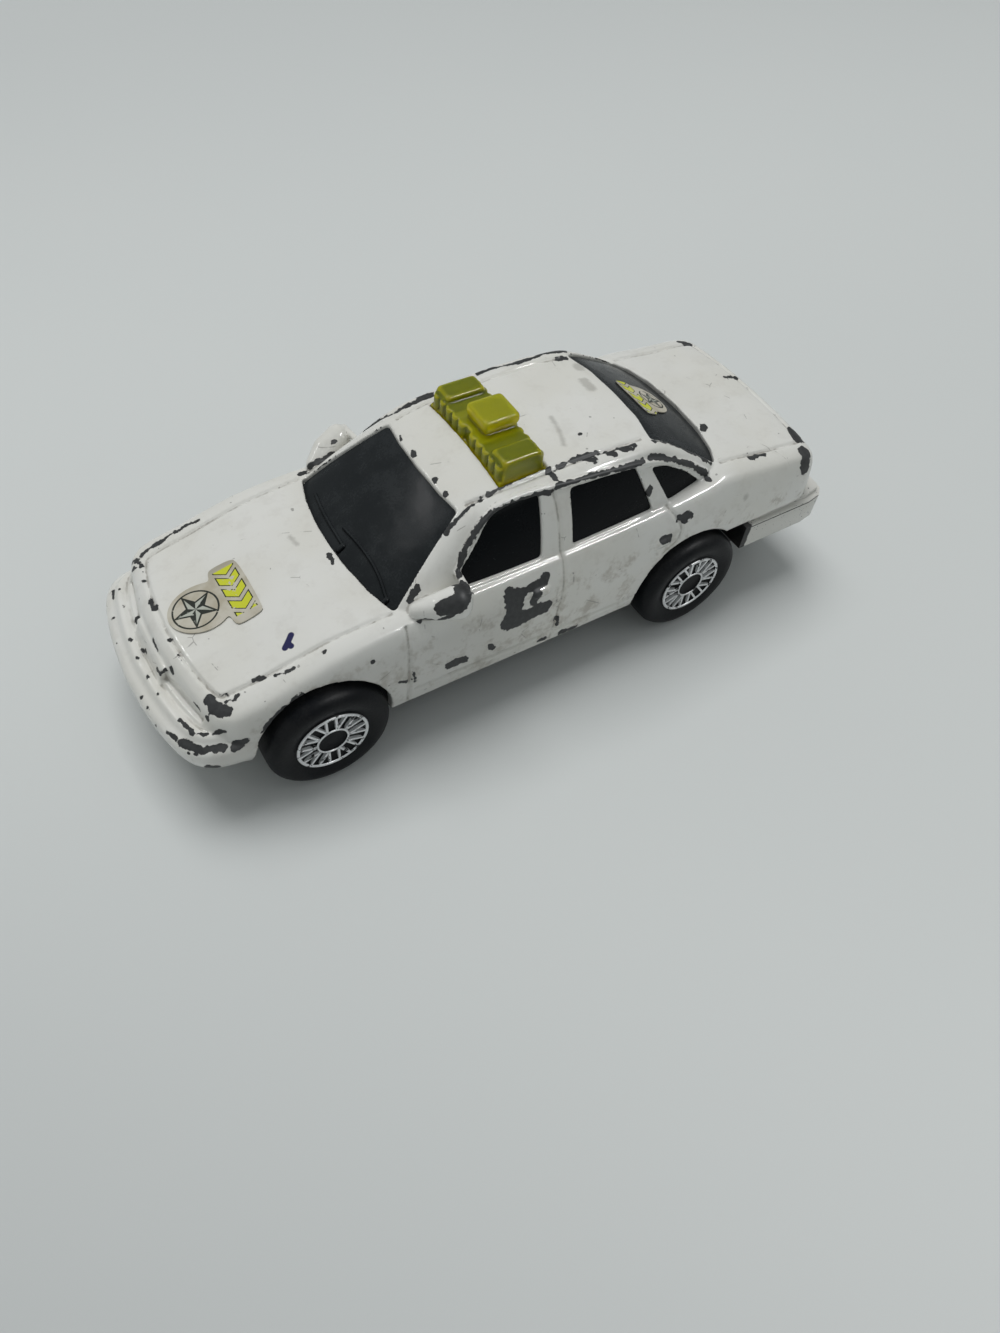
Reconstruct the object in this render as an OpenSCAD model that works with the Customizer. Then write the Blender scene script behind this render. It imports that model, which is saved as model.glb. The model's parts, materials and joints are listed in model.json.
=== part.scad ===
// Toy police car: a die-cast four-door saloon with black windows, a roof light bar and rolling wheels.
// Front is +X, the left side is +Y and up is +Z. The origin is on the floor under the middle of the car.

/* [Overall] */
// distance between the two axles
wheelbase = 41.5; // [39:0.5:45]
// nose of the front bumper ahead of the front axle
front_overhang = 14; // [13:0.5:16]
// rear bumper behind the rear axle
rear_overhang = 18.9; // [18:0.5:22]
// width of the body casting over the doors
body_w = 25.2; // [24.4:0.2:27]
// height of the sill above the floor
sill_z = 5.5; // [5.2:0.1:6]
// height of the hood edge at its front corner
hood_front_z = 12.7; // [12.4:0.1:13.5]
// height of the hood edge at the windscreen
cowl_z = 15.8; // [15.4:0.1:16.4]
// height of the boot edge at the rear window
deck_front_z = 18.4; // [18:0.1:19]
// height of the boot edge at the tail
deck_rear_z = 17; // [16.4:0.1:17.6]
// height of the roof at its middle
roof_z = 23.5; // [23:0.1:24.5]
// thickness of the casting
wall = 1.1; // [0.9:0.1:1.4]

/* [Wheels] */
// radius of the tyre, which is also the height of the axles
tyre_r = 6.1; // [5.7:0.1:6.3]
// width of a wheel
wheel_w = 4.2; // [3.6:0.1:4.6]
// how far the wheel faces stand out beyond the doors
wheel_proud = 0.9; // [0.7:0.1:1.5]
// radius of the silvered wheel trim
trim_r = 3.55; // [3.2:0.05:4]
// radius of the plain disc in the middle of the trim
hub_r = 1.45; // [1.3:0.05:1.7]
// radius of an axle pin
axle_r = 0.6; // [0.5:0.05:0.7]
// radius of the head on each end of an axle pin
axle_head_r = 0.85; // [0.8:0.05:1]
// running clearance of a wheel on its axle
run_gap = 0.06; // [0.03:0.01:0.08]
// gap between a tyre and its wheel arch
arch_gap = 0.65; // [0.6:0.05:1]

/* [Base] */
// underside of the base below the axles
base_drop = 1.9; // [1.8:0.1:2.3]
// thickness of the base floor
base_t = 1.8; // [1.6:0.1:2]
// gap between the base and the casting
base_gap = 0.15; // [0.1:0.05:0.3]
// height of the rear bumper bar
bumper_h = 3.6; // [3.2:0.1:3.8]
// radius of the rivet posts of the casting
post_r = 1.7; // [1.5:0.1:2]

/* [Windows] */
// depth of the glass below the painted surface
glass_sink = 0.25; // [0.15:0.05:0.35]
// thickness of the window moulding behind the casting
glass_t = 0.8; // [0.6:0.1:1]
// gap between the window moulding and the casting
glass_gap = 0.06; // [0.04:0.01:0.1]

/* [Light bar] */
// length of the light bar across the roof
bar_w = 12.6; // [12:0.1:13]
// length of the light bar foot along the car
bar_l = 5; // [4.6:0.1:5.4]
// height of the middle lamp above the roof
bar_h = 2.4; // [2:0.1:3]
// gap around the light bar foot
bar_gap = 0.08; // [0.05:0.01:0.15]

/* [Details] */
// depth of the panel lines
line_d = 0.3; // [0.2:0.05:0.4]
// width of the panel lines
line_w = 0.42; // [0.3:0.02:0.6]
// thickness of a paper label
label_t = 0.1; // [0.08:0.01:0.15]

/* [Hidden] */

length = wheelbase + front_overhang + rear_overhang;
nose_x = length / 2;
tail_x = -length / 2;
front_x = nose_x - front_overhang;
rear_x = front_x - wheelbase;
axle_z = tyre_r;
half_w = body_w / 2;
wheel_face_y = half_w + wheel_proud;
arch_r = tyre_r + arch_gap;
base_z = axle_z - base_drop;

// places along the car that follow the axles
face_x = nose_x - 3;
hood_x = front_x + 9.5;
cowl_x = front_x - 6.6;
bar_x = (front_x + rear_x) / 2 - 2.2;
back_x = rear_x - 3.2;
deck_x = tail_x + 3.9;
rear_face_x = tail_x + 2;
bumper_z = axle_z + 1.45;
tail_z = bumper_z + bumper_h + base_gap;
front_arch = [front_x + 0.25, axle_z + 0.1];
rear_arch = [rear_x + 0.25, axle_z];

// height of the top edge of the lower body, front to rear
top_tbl = [
    [face_x, hood_front_z - 1.9],
    [face_x - 0.15, hood_front_z - 0.75],
    [face_x - 0.6, hood_front_z - 0.4],
    [hood_x, hood_front_z],
    [front_x + 4.4, hood_front_z + (cowl_z - hood_front_z) * 0.33],
    [front_x + 1.5, hood_front_z + (cowl_z - hood_front_z) * 0.55],
    [front_x - 1.9, hood_front_z + (cowl_z - hood_front_z) * 0.82],
    [front_x - 4.8, cowl_z - 0.2],
    [cowl_x - 1.3, cowl_z],
    [cowl_x - 8, cowl_z + 0.2],
    [bar_x, cowl_z + 0.4],
    [rear_x + 8, cowl_z + 0.75],
    [rear_x + 3, deck_front_z - 1.35],
    [rear_x - 0.2, deck_front_z - 0.75],
    [back_x, deck_front_z],
    [(back_x + deck_x) / 2, (deck_front_z + deck_rear_z) / 2],
    [deck_x, deck_rear_z],
    [rear_face_x + 0.9, deck_rear_z - 0.4],
    [rear_face_x + 0.25, deck_rear_z - 1.3],
    [rear_face_x, deck_rear_z - 2.2]];
// rise of the middle of the top above its edge
crown_tbl = [[face_x, 0.2], [hood_x, 0.65], [front_x, 0.65], [cowl_x, 0.5], [back_x, 0.3],
    [deck_x, 0.35], [rear_face_x, 0.1]];
// half width of the top panel at its edge
edge_tbl = [[face_x, half_w - 4.2], [face_x - 0.6, half_w - 3.6], [hood_x, half_w - 3.3],
    [cowl_x - 1.3, half_w - 2.9], [cowl_x - 6, half_w - 2.2], [rear_x + 6, half_w - 2.2],
    [back_x, half_w - 3.55], [deck_x, half_w - 3.1], [rear_face_x, half_w - 4.2]];
// half width at the shoulder
shoulder_tbl = [[face_x, half_w - 2.4], [face_x - 0.15, half_w - 2], [face_x - 0.6, half_w - 1.65],
    [hood_x, half_w - 1.1], [front_x, half_w - 0.85], [cowl_x - 1.3, half_w - 0.95],
    [cowl_x - 6, half_w - 1.25],
    [rear_x + 6, half_w - 1.25], [back_x, half_w - 1], [deck_x, half_w - 1.1],
    [rear_face_x + 0.9, half_w - 1.35], [rear_face_x, half_w - 2.2]];
// drop from the top edge to the shoulder
drop_tbl = [[face_x, 0.3], [hood_x, 0.4], [front_x, 0.55], [cowl_x - 1.3, 0.5], [cowl_x - 6, 0.4],
    [rear_x + 6, 0.5], [back_x, 0.95], [deck_x, 0.75], [rear_face_x, 0.5]];
// half width at the door skins
side_tbl = [[face_x, half_w - 1.9], [face_x - 0.15, half_w - 1.5], [face_x - 0.6, half_w - 1.15],
    [hood_x, half_w - 0.6], [front_x + 4, half_w - 0.05], [front_x, half_w], [rear_x, half_w],
    [rear_x - 6, half_w - 0.1], [deck_x, half_w - 0.35], [rear_face_x + 0.9, half_w - 0.7],
    [rear_face_x, half_w - 1.6]];
lower_stations = [face_x, face_x - 0.15, face_x - 0.6, hood_x, hood_x - 2.2, front_x + 5.2, front_x + 3.2,
    front_x + 1.5, front_x - 0.2, front_x - 1.9, front_x - 4.8, cowl_x - 1.3, cowl_x - 3.6, cowl_x - 6,
    cowl_x - 10, bar_x, rear_x + 12, rear_x + 8, rear_x + 5.5, rear_x + 3, rear_x + 1.4, rear_x - 0.2,
    rear_x - 1.7, back_x, back_x - 2.8, (back_x + deck_x) / 2, deck_x + 2.5, deck_x, rear_face_x + 0.9,
    rear_face_x + 0.25, rear_face_x];

// sweep of the nose in plan: how far a point at half width y sits behind the middle of its section
function nose_sweep(x, y) = 1.4 * max(0, min(1, (x - front_x - 2) / 8)) * pow(y / 10, 2)
    - 0.5 * max(0, min(1, (deck_x + 3 - x) / 3)) * pow(y / 10, 2);

// rounds a run of points by cutting its corners
function soften(p) = concat([p[0]], [for (i = [0 : len(p) - 2])
    each [(3 * p[i] + p[i + 1]) / 4, (p[i] + 3 * p[i + 1]) / 4]], [p[len(p) - 1]]);

// half section of the lower body from its middle top to its sill, drawn in by d
function half_section(x, d, foot) = let (
    top = lookup(x, top_tbl), crown = lookup(x, crown_tbl), e = lookup(x, edge_tbl),
    s = lookup(x, shoulder_tbl), drop = lookup(x, drop_tbl), m = lookup(x, side_tbl))
    [[0, top + crown - d], [e * 0.5, top + crown * 0.95 - d], [e * 0.58, top + crown * 0.7 - d],
        [e * 0.92, top + crown * 0.15 - d],
        [(e + s) / 2, top - drop * 0.12 - d], [s - d * 0.6, top - drop - d * 0.6],
        [s + (m - s) * 0.75 - d, (top - drop) * 0.62 + axle_z * 0.62 - 0.5],
        [m - d, axle_z + 3.2], [m - 0.05 - d, axle_z + 1], [m - 0.3 - d, foot]];

// height of the top of the lower body at a point
function top_at(x, y) = lookup(abs(y),
    [for (p = soften(half_section(x, 0, sill_z))) if (p[0] < lookup(x, edge_tbl) + 0.4) p]);

function ring(x, h) = let (n = len(h)) concat(
    [for (i = [n - 1 : -1 : 0]) [x - nose_sweep(x, h[i][0]), h[i][0], h[i][1]]],
    [for (i = [1 : n - 1]) [x - nose_sweep(x, h[i][0]), -h[i][0], h[i][1]]]);

function middle(p) = [for (k = [0 : 2]) (max([for (q = p) q[k]]) + min([for (q = p) q[k]])) / 2];

// solid through a run of closed rings; flip turns the faces the other way
module skin(rings, flip = false) {
    m = len(rings[0]);
    n = len(rings);
    pts = concat([for (r = rings) each r], [middle(rings[0]), middle(rings[n - 1])]);
    sides = [for (i = [0 : n - 2]) for (j = [0 : m - 1]) let (k = (j + 1) % m)
        each [[i * m + j, i * m + k, (i + 1) * m + k], [i * m + j, (i + 1) * m + k, (i + 1) * m + j]]];
    caps = [for (j = [0 : m - 1]) let (k = (j + 1) % m)
        each [[n * m, k, j], [n * m + 1, (n - 1) * m + j, (n - 1) * m + k]]];
    faces = concat(sides, caps);
    polyhedron(pts, flip ? [for (f = faces) [f[2], f[1], f[0]]] : faces, convexity = 8);
}

module lower_body(d, foot) {
    skin([for (x = lower_stations) ring(x, soften(half_section(x, d, foot)))]);
}

module lower_hollow() {
    inner = [face_x - wall, hood_x - 1, front_x + 3, front_x - 2, cowl_x - 1.3, cowl_x - 6, bar_x,
        rear_x + 8, rear_x + 3, rear_x - 0.2, back_x, (back_x + deck_x) / 2, deck_x, rear_face_x + wall];
    skin([for (x = inner) ring(x, half_section(x, wall, base_z - 1))]);
}

// outline of the cabin at its foot and at the edge of the roof, from the middle front round the left side
cabin_foot = [
    [cowl_x + 1, 0, cowl_z - 0.6], [cowl_x + 0.85, 3.2, cowl_z - 0.6], [cowl_x + 0.3, 6.5, cowl_z - 0.6],
    [cowl_x - 0.8, half_w - 3.2, cowl_z - 0.6], [cowl_x - 2.2, half_w - 2.25, cowl_z - 0.5],
    [cowl_x - 6.5, half_w - 2, cowl_z - 0.4], [cowl_x - 12, half_w - 1.8, cowl_z - 0.2],
    [bar_x - 3, half_w - 1.85, cowl_z], [rear_x + 6.5, half_w - 2, cowl_z + 0.4],
    [rear_x + 1.5, half_w - 2.3, cowl_z + 0.9], [back_x - 0.2, half_w - 2.8, deck_front_z - 1.2],
    [back_x - 2, half_w - 3.8, deck_front_z - 1.2], [back_x - 3.2, 5.6, deck_front_z - 1.2],
    [back_x - 3.7, 0, deck_front_z - 1.2]];
cabin_roof = [
    [cowl_x - 9.1, 0, roof_z - 1.15], [cowl_x - 9.18, 2.4, roof_z - 1.2], [cowl_x - 9.35, 4.6, roof_z - 1.3],
    [cowl_x - 9.5, half_w - 6, roof_z - 1.45], [cowl_x - 10.4, half_w - 5, roof_z - 1.35],
    [cowl_x - 13.6, half_w - 4.6, roof_z - 0.95], [bar_x - 1.5, half_w - 4.45, roof_z - 0.7],
    [bar_x - 5, half_w - 4.2, roof_z - 0.4], [rear_x + 9, half_w - 4.1, roof_z - 0.3],
    [rear_x + 6.2, half_w - 4.2, roof_z - 0.35], [rear_x + 4.9, half_w - 4.5, roof_z - 0.45],
    [rear_x + 4.2, half_w - 5.6, roof_z - 0.65], [rear_x + 3.8, 3.8, roof_z - 0.5],
    [rear_x + 3.7, 0, roof_z - 0.4]];
cabin_n = len(cabin_foot);
// share of the front, side and rear slope at each point of the outline
cabin_push = [[1, 0], [1, 0.35], [1, 0.7], [1, 0.95], [0.7, 1], [0.4, 1], [0.2, 1], [0, 1], [-0.4, 1],
    [-0.7, 1], [-1, 0.95], [-1.15, 0.8], [-1.2, 0.5], [-1.2, 0]];

function mirrored(half) = concat(half,
    [for (i = [cabin_n - 2 : -1 : 1]) [half[i][0], -half[i][1], half[i][2]]]);
function cabin_ring(t, d) = mirrored([for (i = [0 : cabin_n - 1]) let (
        f = cabin_foot[i], r = cabin_roof[i], q = cabin_push[i], b = 0.22 * 4 * t * (1 - t))
        (1 - t) * [f[0] - 1.64 * d * q[0], f[1] - 1.1 * d * q[1], f[2]]
        + t * [r[0] - 0.34 * d * q[0], r[1] - 0.64 * d * q[1], r[2] - d] + b * [q[0], q[1], 0.3]]);
function crown_ring(u, d) = mirrored([for (i = [0 : cabin_n - 1]) let (r = cabin_roof[i], q = cabin_push[i])
        [(r[0] - 0.34 * d * q[0]) * (1 - u) + bar_x * u, (r[1] - 0.64 * d * q[1]) * (1 - u),
            r[2] + (roof_z - r[2]) * (1 - pow(1 - u, 2)) - d]]);

// the cabin drawn in by d, its foot carried straight down by sink
module cabin(d, sink = 0) {
    deep = sink > 0 ? [[for (p = cabin_ring(0, d)) p - [0, 0, sink]]] : [];
    skin(concat(deep, [for (t = [0, 0.3, 0.6, 0.85, 1]) cabin_ring(t, d)],
        [for (u = [0.12, 0.3, 0.55, 0.8]) crown_ring(u, d)]), true);
}

// half width of the cabin side at a height
function cabin_y(x, z) = lookup(x, [for (i = [3 : cabin_n - 3]) let (
    f = cabin_foot[i], r = cabin_roof[i], t = max(0, min(1, (z - f[2]) / (r[2] - f[2]))))
    [f[0] + (r[0] - f[0]) * t, f[1] + (r[1] - f[1]) * t + 0.88 * t * (1 - t)]]);

// window openings: the side windows drawn in side view, the two screens drawn in plan
belt_z = cowl_z + 0.45;
front_window = [[cowl_x - 8.3, belt_z], [cowl_x - 8.15, belt_z + 1.7], [cowl_x - 9.6, belt_z + 3.1],
    [cowl_x - 12, belt_z + 5.2], [cowl_x - 14.1, belt_z + 5.6], [cowl_x - 16.9, belt_z + 5.65],
    [cowl_x - 16.5, belt_z + 0.1]];
rear_window = [[rear_x + 14.9, belt_z + 0.15], [rear_x + 14.9, belt_z + 5.6], [rear_x + 7.7, belt_z + 5.6],
    [rear_x + 5.45, belt_z + 0.5]];
quarter_window = [[rear_x + 3.4, belt_z + 0.65], [rear_x + 5.8, belt_z + 5], [rear_x + 4, belt_z + 4.6],
    [rear_x + 1.4, belt_z + 3.1], [rear_x - 0.6, belt_z + 1.35]];
windscreen = [[cowl_x, 0], [cowl_x - 0.12, 3.2], [cowl_x - 0.65, 6.5], [cowl_x - 1.6, half_w - 3.05],
    [cowl_x - 9.55, half_w - 6.12], [cowl_x - 9.16, 3.7], [cowl_x - 9, 0]];
backlight = [[back_x - 1.6, 0], [back_x - 1.35, 4.1], [back_x - 0.68, 7.1], [back_x + 0.17, half_w - 3.72],
    [rear_x + 4.75, half_w - 5.4], [rear_x + 4.1, 4], [rear_x + 4, 0]];
function both_sides(p) = concat(p, [for (i = [len(p) - 1 : -1 : 0]) if (p[i][1] > 0) [p[i][0], -p[i][1]]]);

module window_cuts(gap) {
    for (s = [1, -1])
        for (w = [front_window, rear_window, quarter_window])
            scale([1, s, 1])
                translate([0, half_w - 1, 0])
                    rotate([90, 0, 0])
                        linear_extrude(height = 6)
                            offset(delta = -gap)
                                polygon(w);
    translate([0, 0, cowl_z - 0.9])
        linear_extrude(height = 8)
            offset(delta = -gap)
                polygon(both_sides(windscreen));
    translate([0, 0, deck_front_z - 1.6])
        linear_extrude(height = 7)
            offset(delta = -gap)
                polygon(both_sides(backlight));
}

// run of small round beads joined in pairs
module bead(points, r) {
    for (i = [0 : len(points) - 2])
        hull() {
            translate(points[i]) sphere(r = r, $fn = 8);
            translate(points[i + 1]) sphere(r = r, $fn = 8);
        }
}

// strip of the given width along a run of plan or side points
module strip(points, w) {
    for (i = [0 : len(points) - 2])
        hull() {
            translate(points[i]) circle(d = w, $fn = 6);
            translate(points[i + 1]) circle(d = w, $fn = 6);
        }
}

// drip rail over the side windows
rail = [[cowl_x - 7.6, belt_z + 1.6], [cowl_x - 9, belt_z + 3.5], [cowl_x - 11.5, belt_z + 5.7],
    [cowl_x - 14.2, belt_z + 6.3], [bar_x - 1.9, belt_z + 6.35], [rear_x + 11, belt_z + 6.25],
    [rear_x + 6.2, belt_z + 5.8], [rear_x + 1, belt_z + 3.9], [rear_x - 1.5, belt_z + 1.9]];

module drip_rails() {
    for (s = [1, -1])
        bead([for (p = rail) [p[0], s * (cabin_y(p[0], p[1]) + 0.02), p[1]]], 0.34);
}

module mirrors() {
    for (s = [1, -1])
        scale([1, s, 1])
            hull() {
                translate([cowl_x - 6.5, half_w - 0.5, cowl_z + 1.5])
                    scale([0.8, 1.05, 1])
                        sphere(r = 1.3, $fn = 12);
                translate([cowl_x - 5, half_w - 0.9, cowl_z + 1.2])
                    scale([1, 1, 0.9])
                        sphere(r = 1.05, $fn = 12);
                translate([cowl_x - 3.4, half_w - 2, cowl_z + 0.3])
                    sphere(r = 0.8, $fn = 12);
            }
}

module handles() {
    for (s = [1, -1])
        for (p = [[cowl_x - 15.8, axle_z + 7.4], [rear_x + 4.7, axle_z + 7.3]])
            scale([1, s, 1])
                hull() {
                    translate([p[0] - 0.55, half_w - 0.75, p[1]]) sphere(r = 0.62, $fn = 12);
                    translate([p[0] + 0.55, half_w - 0.75, p[1]]) sphere(r = 0.62, $fn = 12);
                }
}

// front bumper, swept round the nose from arch to arch
bumper_path = [[nose_x, 0], [nose_x - 0.22, 4], [nose_x - 0.69, 7], [nose_x - 1.3, half_w - 3.1],
    [nose_x - 2.2, half_w - 1.55], [nose_x - 3.5, half_w - 0.65], [nose_x - 5.3, half_w - 0.2],
    [front_arch[0] + arch_r - 0.5, half_w - 0.05]];
bumper_turn = [0, 6, 14, 26, 46, 66, 82, 87];
bumper_shape = [[-4, axle_z + 3.9], [-2.3, axle_z + 3.85], [-1.75, axle_z + 4.2], [-1.3, axle_z + 4.1],
    [-0.95, axle_z + 3.45], [-0.35, axle_z + 3.2], [-0.02, axle_z + 2.7], [0, axle_z + 1.7],
    [-0.3, axle_z + 0.85], [-0.9, axle_z + 0.3], [-4, axle_z + 0.2]];

function bumper_ring(i, s) = let (p = bumper_path[i], a = bumper_turn[i])
    [for (q = bumper_shape) [p[0] + q[0] * cos(a), s * (p[1] + q[0] * sin(a)), q[1]]];

module front_bumper() {
    n = len(bumper_path);
    skin(concat([for (i = [n - 1 : -1 : 1]) bumper_ring(i, 1)],
        [for (i = [0 : n - 1]) bumper_ring(i, -1)]));
}

// panel lines, cut a little way into the painted surface
hood_line = [[cowl_x - 1.5, half_w - 2.9], [front_x, half_w - 3.1], [hood_x - 1.7, half_w - 3.35],
    [hood_x - 1.2, half_w - 3.9], [hood_x - 0.5, 6], [hood_x - 0.1, 3], [hood_x, 0]];
deck_line = [[back_x - 0.2, half_w - 3.4], [(back_x + deck_x) / 2, half_w - 3.3],
    [deck_x + 0.8, half_w - 3.1], [deck_x + 0.2, half_w - 3.6], [deck_x, 5], [deck_x - 0.1, 0]];
roof_line = [[cowl_x - 10.2, half_w - 6.15], [cowl_x - 13.2, half_w - 5.85], [bar_x - 2, half_w - 5.7],
    [rear_x + 9, half_w - 5.6], [rear_x + 5.6, half_w - 5.75]];
door_lines = [
    [[cowl_x - 1.9, cowl_z - 0.3], [cowl_x - 1.7, axle_z + 5], [cowl_x - 1.6, sill_z]],
    [[bar_x - 1.8, roof_z - 0.9], [bar_x - 2.2, roof_z - 3], [bar_x - 2.2, axle_z + 6.2],
        [bar_x - 1.5, axle_z + 3.5], [bar_x - 1.3, sill_z]],
    [[rear_x + 3.9, belt_z + 0.6], [rear_x + 2.3, axle_z + 8.6], [rear_x + 2.5, axle_z + 6.9],
        [rear_x + 4.4, axle_z + 5.8]],
    [[cowl_x - 2.2, axle_z + 1.35], [rear_arch[0] + arch_r, axle_z + 0.95]]];

module line_prisms() {
    translate([0, 0, axle_z])
        linear_extrude(height = 30)
            for (s = [1, -1])
                scale([1, s])
                    union() {
                        strip(hood_line, line_w);
                        strip(deck_line, line_w);
                        strip(roof_line, line_w);
                    }
    for (s = [1, -1])
        scale([1, s, 1])
            translate([0, half_w + 1, 0])
                rotate([90, 0, 0])
                    linear_extrude(height = 7)
                        for (p = door_lines)
                            strip(p, line_w);
}

module panel_lines() {
    intersection() {
        difference() {
            union() {
                lower_body(-0.05, sill_z - 0.05);
                cabin(-0.05);
            }
            lower_body(line_d, sill_z - 1);
            cabin(line_d, 1);
        }
        line_prisms();
    }
}

module arch_cut(c, r, y0) {
    for (s = [1, -1])
        scale([1, s, 1]) {
            translate([c[0], half_w + 3, c[1]])
                rotate([90, 0, 0])
                    cylinder(r = r, h = half_w + 3 - y0, $fn = 48);
            translate([c[0] - r + 0.12, y0, 0])
                cube([2 * r - 0.24, half_w + 3 - y0, c[1] - 0.9]);
        }
}

well_y = wheel_face_y - wheel_w - 0.7;
front_post_x = front_x + 5;
rear_post_x = rear_x - 11;

// post under the casting that passes through the base and is spun over into a flush rivet head
rivet_r = post_r - 0.6;
rivet_head_r = post_r + 0.1;
rivet_sink = 0.25;
rivet_head_t = 0.5;

module rivet_post(x) {
    foot_z = base_z + base_t + base_gap;
    translate([x, 0, foot_z])
        cylinder(r = post_r, h = top_at(x, 0) - wall / 2 - foot_z, $fn = 24);
    translate([x, 0, base_z + rivet_sink])
        cylinder(r = rivet_r, h = foot_z - base_z, $fn = 24);
    translate([x, 0, base_z + rivet_sink])
        cylinder(r = rivet_head_r, h = rivet_head_t, $fn = 24);
}

// plain grille between the front lamps
module grille() {
    hull() {
        translate([face_x - 1, -3.35, axle_z + 3.6])
            cube([1.6, 6.7, 0.2]);
        translate([face_x - 1.2, -3.15, axle_z + 5.65])
            cube([1.43, 6.3, 0.2]);
    }
}

// front lamps and tail lamps, sunk evenly below the end faces
module lamp_cuts() {
    for (s = [1, -1])
        scale([1, s, 1]) {
            translate([face_x - 3, 4.1, axle_z + 4.25])
                cube([5, half_w - 7, 1.2]);
            translate([rear_face_x - 2, 4.4, tail_z + 1])
                cube([3, half_w - 7, 2.4]);
        }
}

module sunk_lamps() {
    difference() {
        lamp_cuts();
        translate([-line_d, 0, 0])
            intersection() {
                lower_body(0, sill_z);
                translate([0, -half_w, 0])
                    cube([nose_x, body_w, roof_z]);
            }
        translate([line_d, 0, 0])
            intersection() {
                lower_body(0, sill_z);
                translate([tail_x, -half_w, 0])
                    cube([-tail_x, body_w, roof_z]);
            }
    }
}

module body_casting() {
    color([0.86, 0.86, 0.84])
        union() {
            difference() {
                union() {
                    lower_body(0, sill_z);
                    cabin(0);
                    front_bumper();
                    grille();
                    drip_rails();
                    mirrors();
                    handles();
                }
                union() {
                    lower_hollow();
                    cabin(wall, 3.5);
                    window_cuts(0);
                    panel_lines();
                    sunk_lamps();
                    arch_cut(front_arch, arch_r, well_y);
                    arch_cut(rear_arch, arch_r, well_y);
                    translate([bar_x - bar_l / 2 - bar_gap, -bar_w / 2 - bar_gap, roof_z - 3])
                        cube([bar_l + 2 * bar_gap, bar_w + 2 * bar_gap, 5]);
                    translate([tail_x, -half_w, base_z])
                        cube([rear_x - 4.2 - tail_x, body_w, tail_z - base_z]);
                    translate([front_x, -half_w, base_z])
                        cube([front_overhang, body_w, axle_z + 0.25 - base_z]);
                    translate([rear_x - 6.15, half_w - 0.4, axle_z + 8.2])
                        sphere(r = 0.95, $fn = 16);
                }
            }
            rivet_post(front_post_x);
            rivet_post(rear_post_x);
        }
}

function screen_at(t, y) = let (p = [for (q = cabin_ring(t, glass_sink)) if (q[0] > bar_x) q])
    [lookup(y, [for (q = p) [q[1], q[0]]]), y, lookup(y, [for (q = p) [q[1], q[2]]])];

// parked wipers, moulded with the windscreen: a pivot and a blade each
module wipers() {
    for (w = [[0.63, -0.05], [0.07, -0.52]] * half_w) {
        blade = [for (i = [0 : 3]) screen_at(0.19 + i * 0.035, w[0] + (w[1] - w[0]) * i / 3)];
        bead(blade, 0.2);
        hull() {
            translate(blade[0]) sphere(r = 0.3, $fn = 8);
            translate(screen_at(0.15, w[0])) sphere(r = 0.3, $fn = 8);
        }
    }
}

module window_moulding() {
    color([0.06, 0.07, 0.08])
        difference() {
            union() {
                intersection() {
                    cabin(glass_sink);
                    window_cuts(glass_gap);
                }
                cabin(wall + glass_gap);
                wipers();
            }
            cabin(wall + glass_gap + glass_t, 4);
        }
}

// the lamps stand on a foot a little below the crown of the roof
bar_sink = 0.55;

// lens block with a wider foot than top
module lens(x0, x1, y0, y1, h, draft) {
    hull() {
        translate([x0, y0, -0.3])
            cube([x1 - x0, y1 - y0, 0.3]);
        translate([x0 + draft, y0 + draft / 2, h - 0.1])
            cube([x1 - x0 - 2 * draft, y1 - y0 - draft, 0.1]);
    }
}

// upright rib across the bar with rounded ends
module rib(y, w, h) {
    hull()
        for (s = [1, -1])
            translate([s * (bar_l / 2 - w / 2), y, -0.3])
                cylinder(d1 = w, d2 = w * 0.8, h = h + 0.3, $fn = 12);
}

module light_bar() {
    color([0.55, 0.58, 0.1])
        translate([bar_x, 0, roof_z - bar_sink])
            union() {
                translate([-bar_l / 2, -bar_w / 2, bar_sink - wall + bar_gap])
                    cube([bar_l, bar_w, wall - bar_gap - bar_sink + 0.1]);
                for (s = [1, -1])
                    scale([1, s, 1]) {
                        lens(-bar_l / 2 + 0.35, bar_l / 2 - 0.35, 0.3, 3.9, 1.3, 0.35);
                        rib(1.5, 1.1, 1.15);
                        rib(2.9, 1.1, 1.15);
                        lens(-bar_l / 2 + 0.1, bar_l / 2 - 0.1, 3.5, bar_w / 2 - 0.1, 1.75, 0.55);
                        rib(4.3, 1.1, 1.15);
                    }
                hull() {
                    translate([-2, -0.9, 0.4])
                        cube([3.3, 1.8, 0.4]);
                    translate([-2.3, -1.7, bar_h - 0.3])
                        cube([3.9, 3.4, 0.75]);
                    translate([-2.1, -1.5, bar_h + 0.3])
                        cube([3, 3, 0.3]);
                }
            }
}

wheel_in_y = wheel_face_y - wheel_w;
base_half = half_w - wall - 0.3 - base_gap;
well_half = wheel_in_y - 0.9;
well_l = tyre_r + 0.75;
base_front_x = hood_x - 1.2;
tub_front_x = rear_x - well_l;

// floor of the base in plan, notched round the wheels
module base_plan() {
    difference() {
        polygon([[base_front_x, base_half - 3.2], [base_front_x - 1.2, base_half - 1.8], [front_x, base_half],
            [tub_front_x, base_half], [tub_front_x, -base_half], [front_x, -base_half],
            [base_front_x - 1.2, 1.8 - base_half], [base_front_x, 3.2 - base_half]]);
        for (x = [front_x, rear_x])
            for (s = [1, -1])
                translate([x - well_l, s > 0 ? well_half : -half_w - 1])
                    square([2 * well_l, half_w + 1 - well_half]);
    }
}

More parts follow.
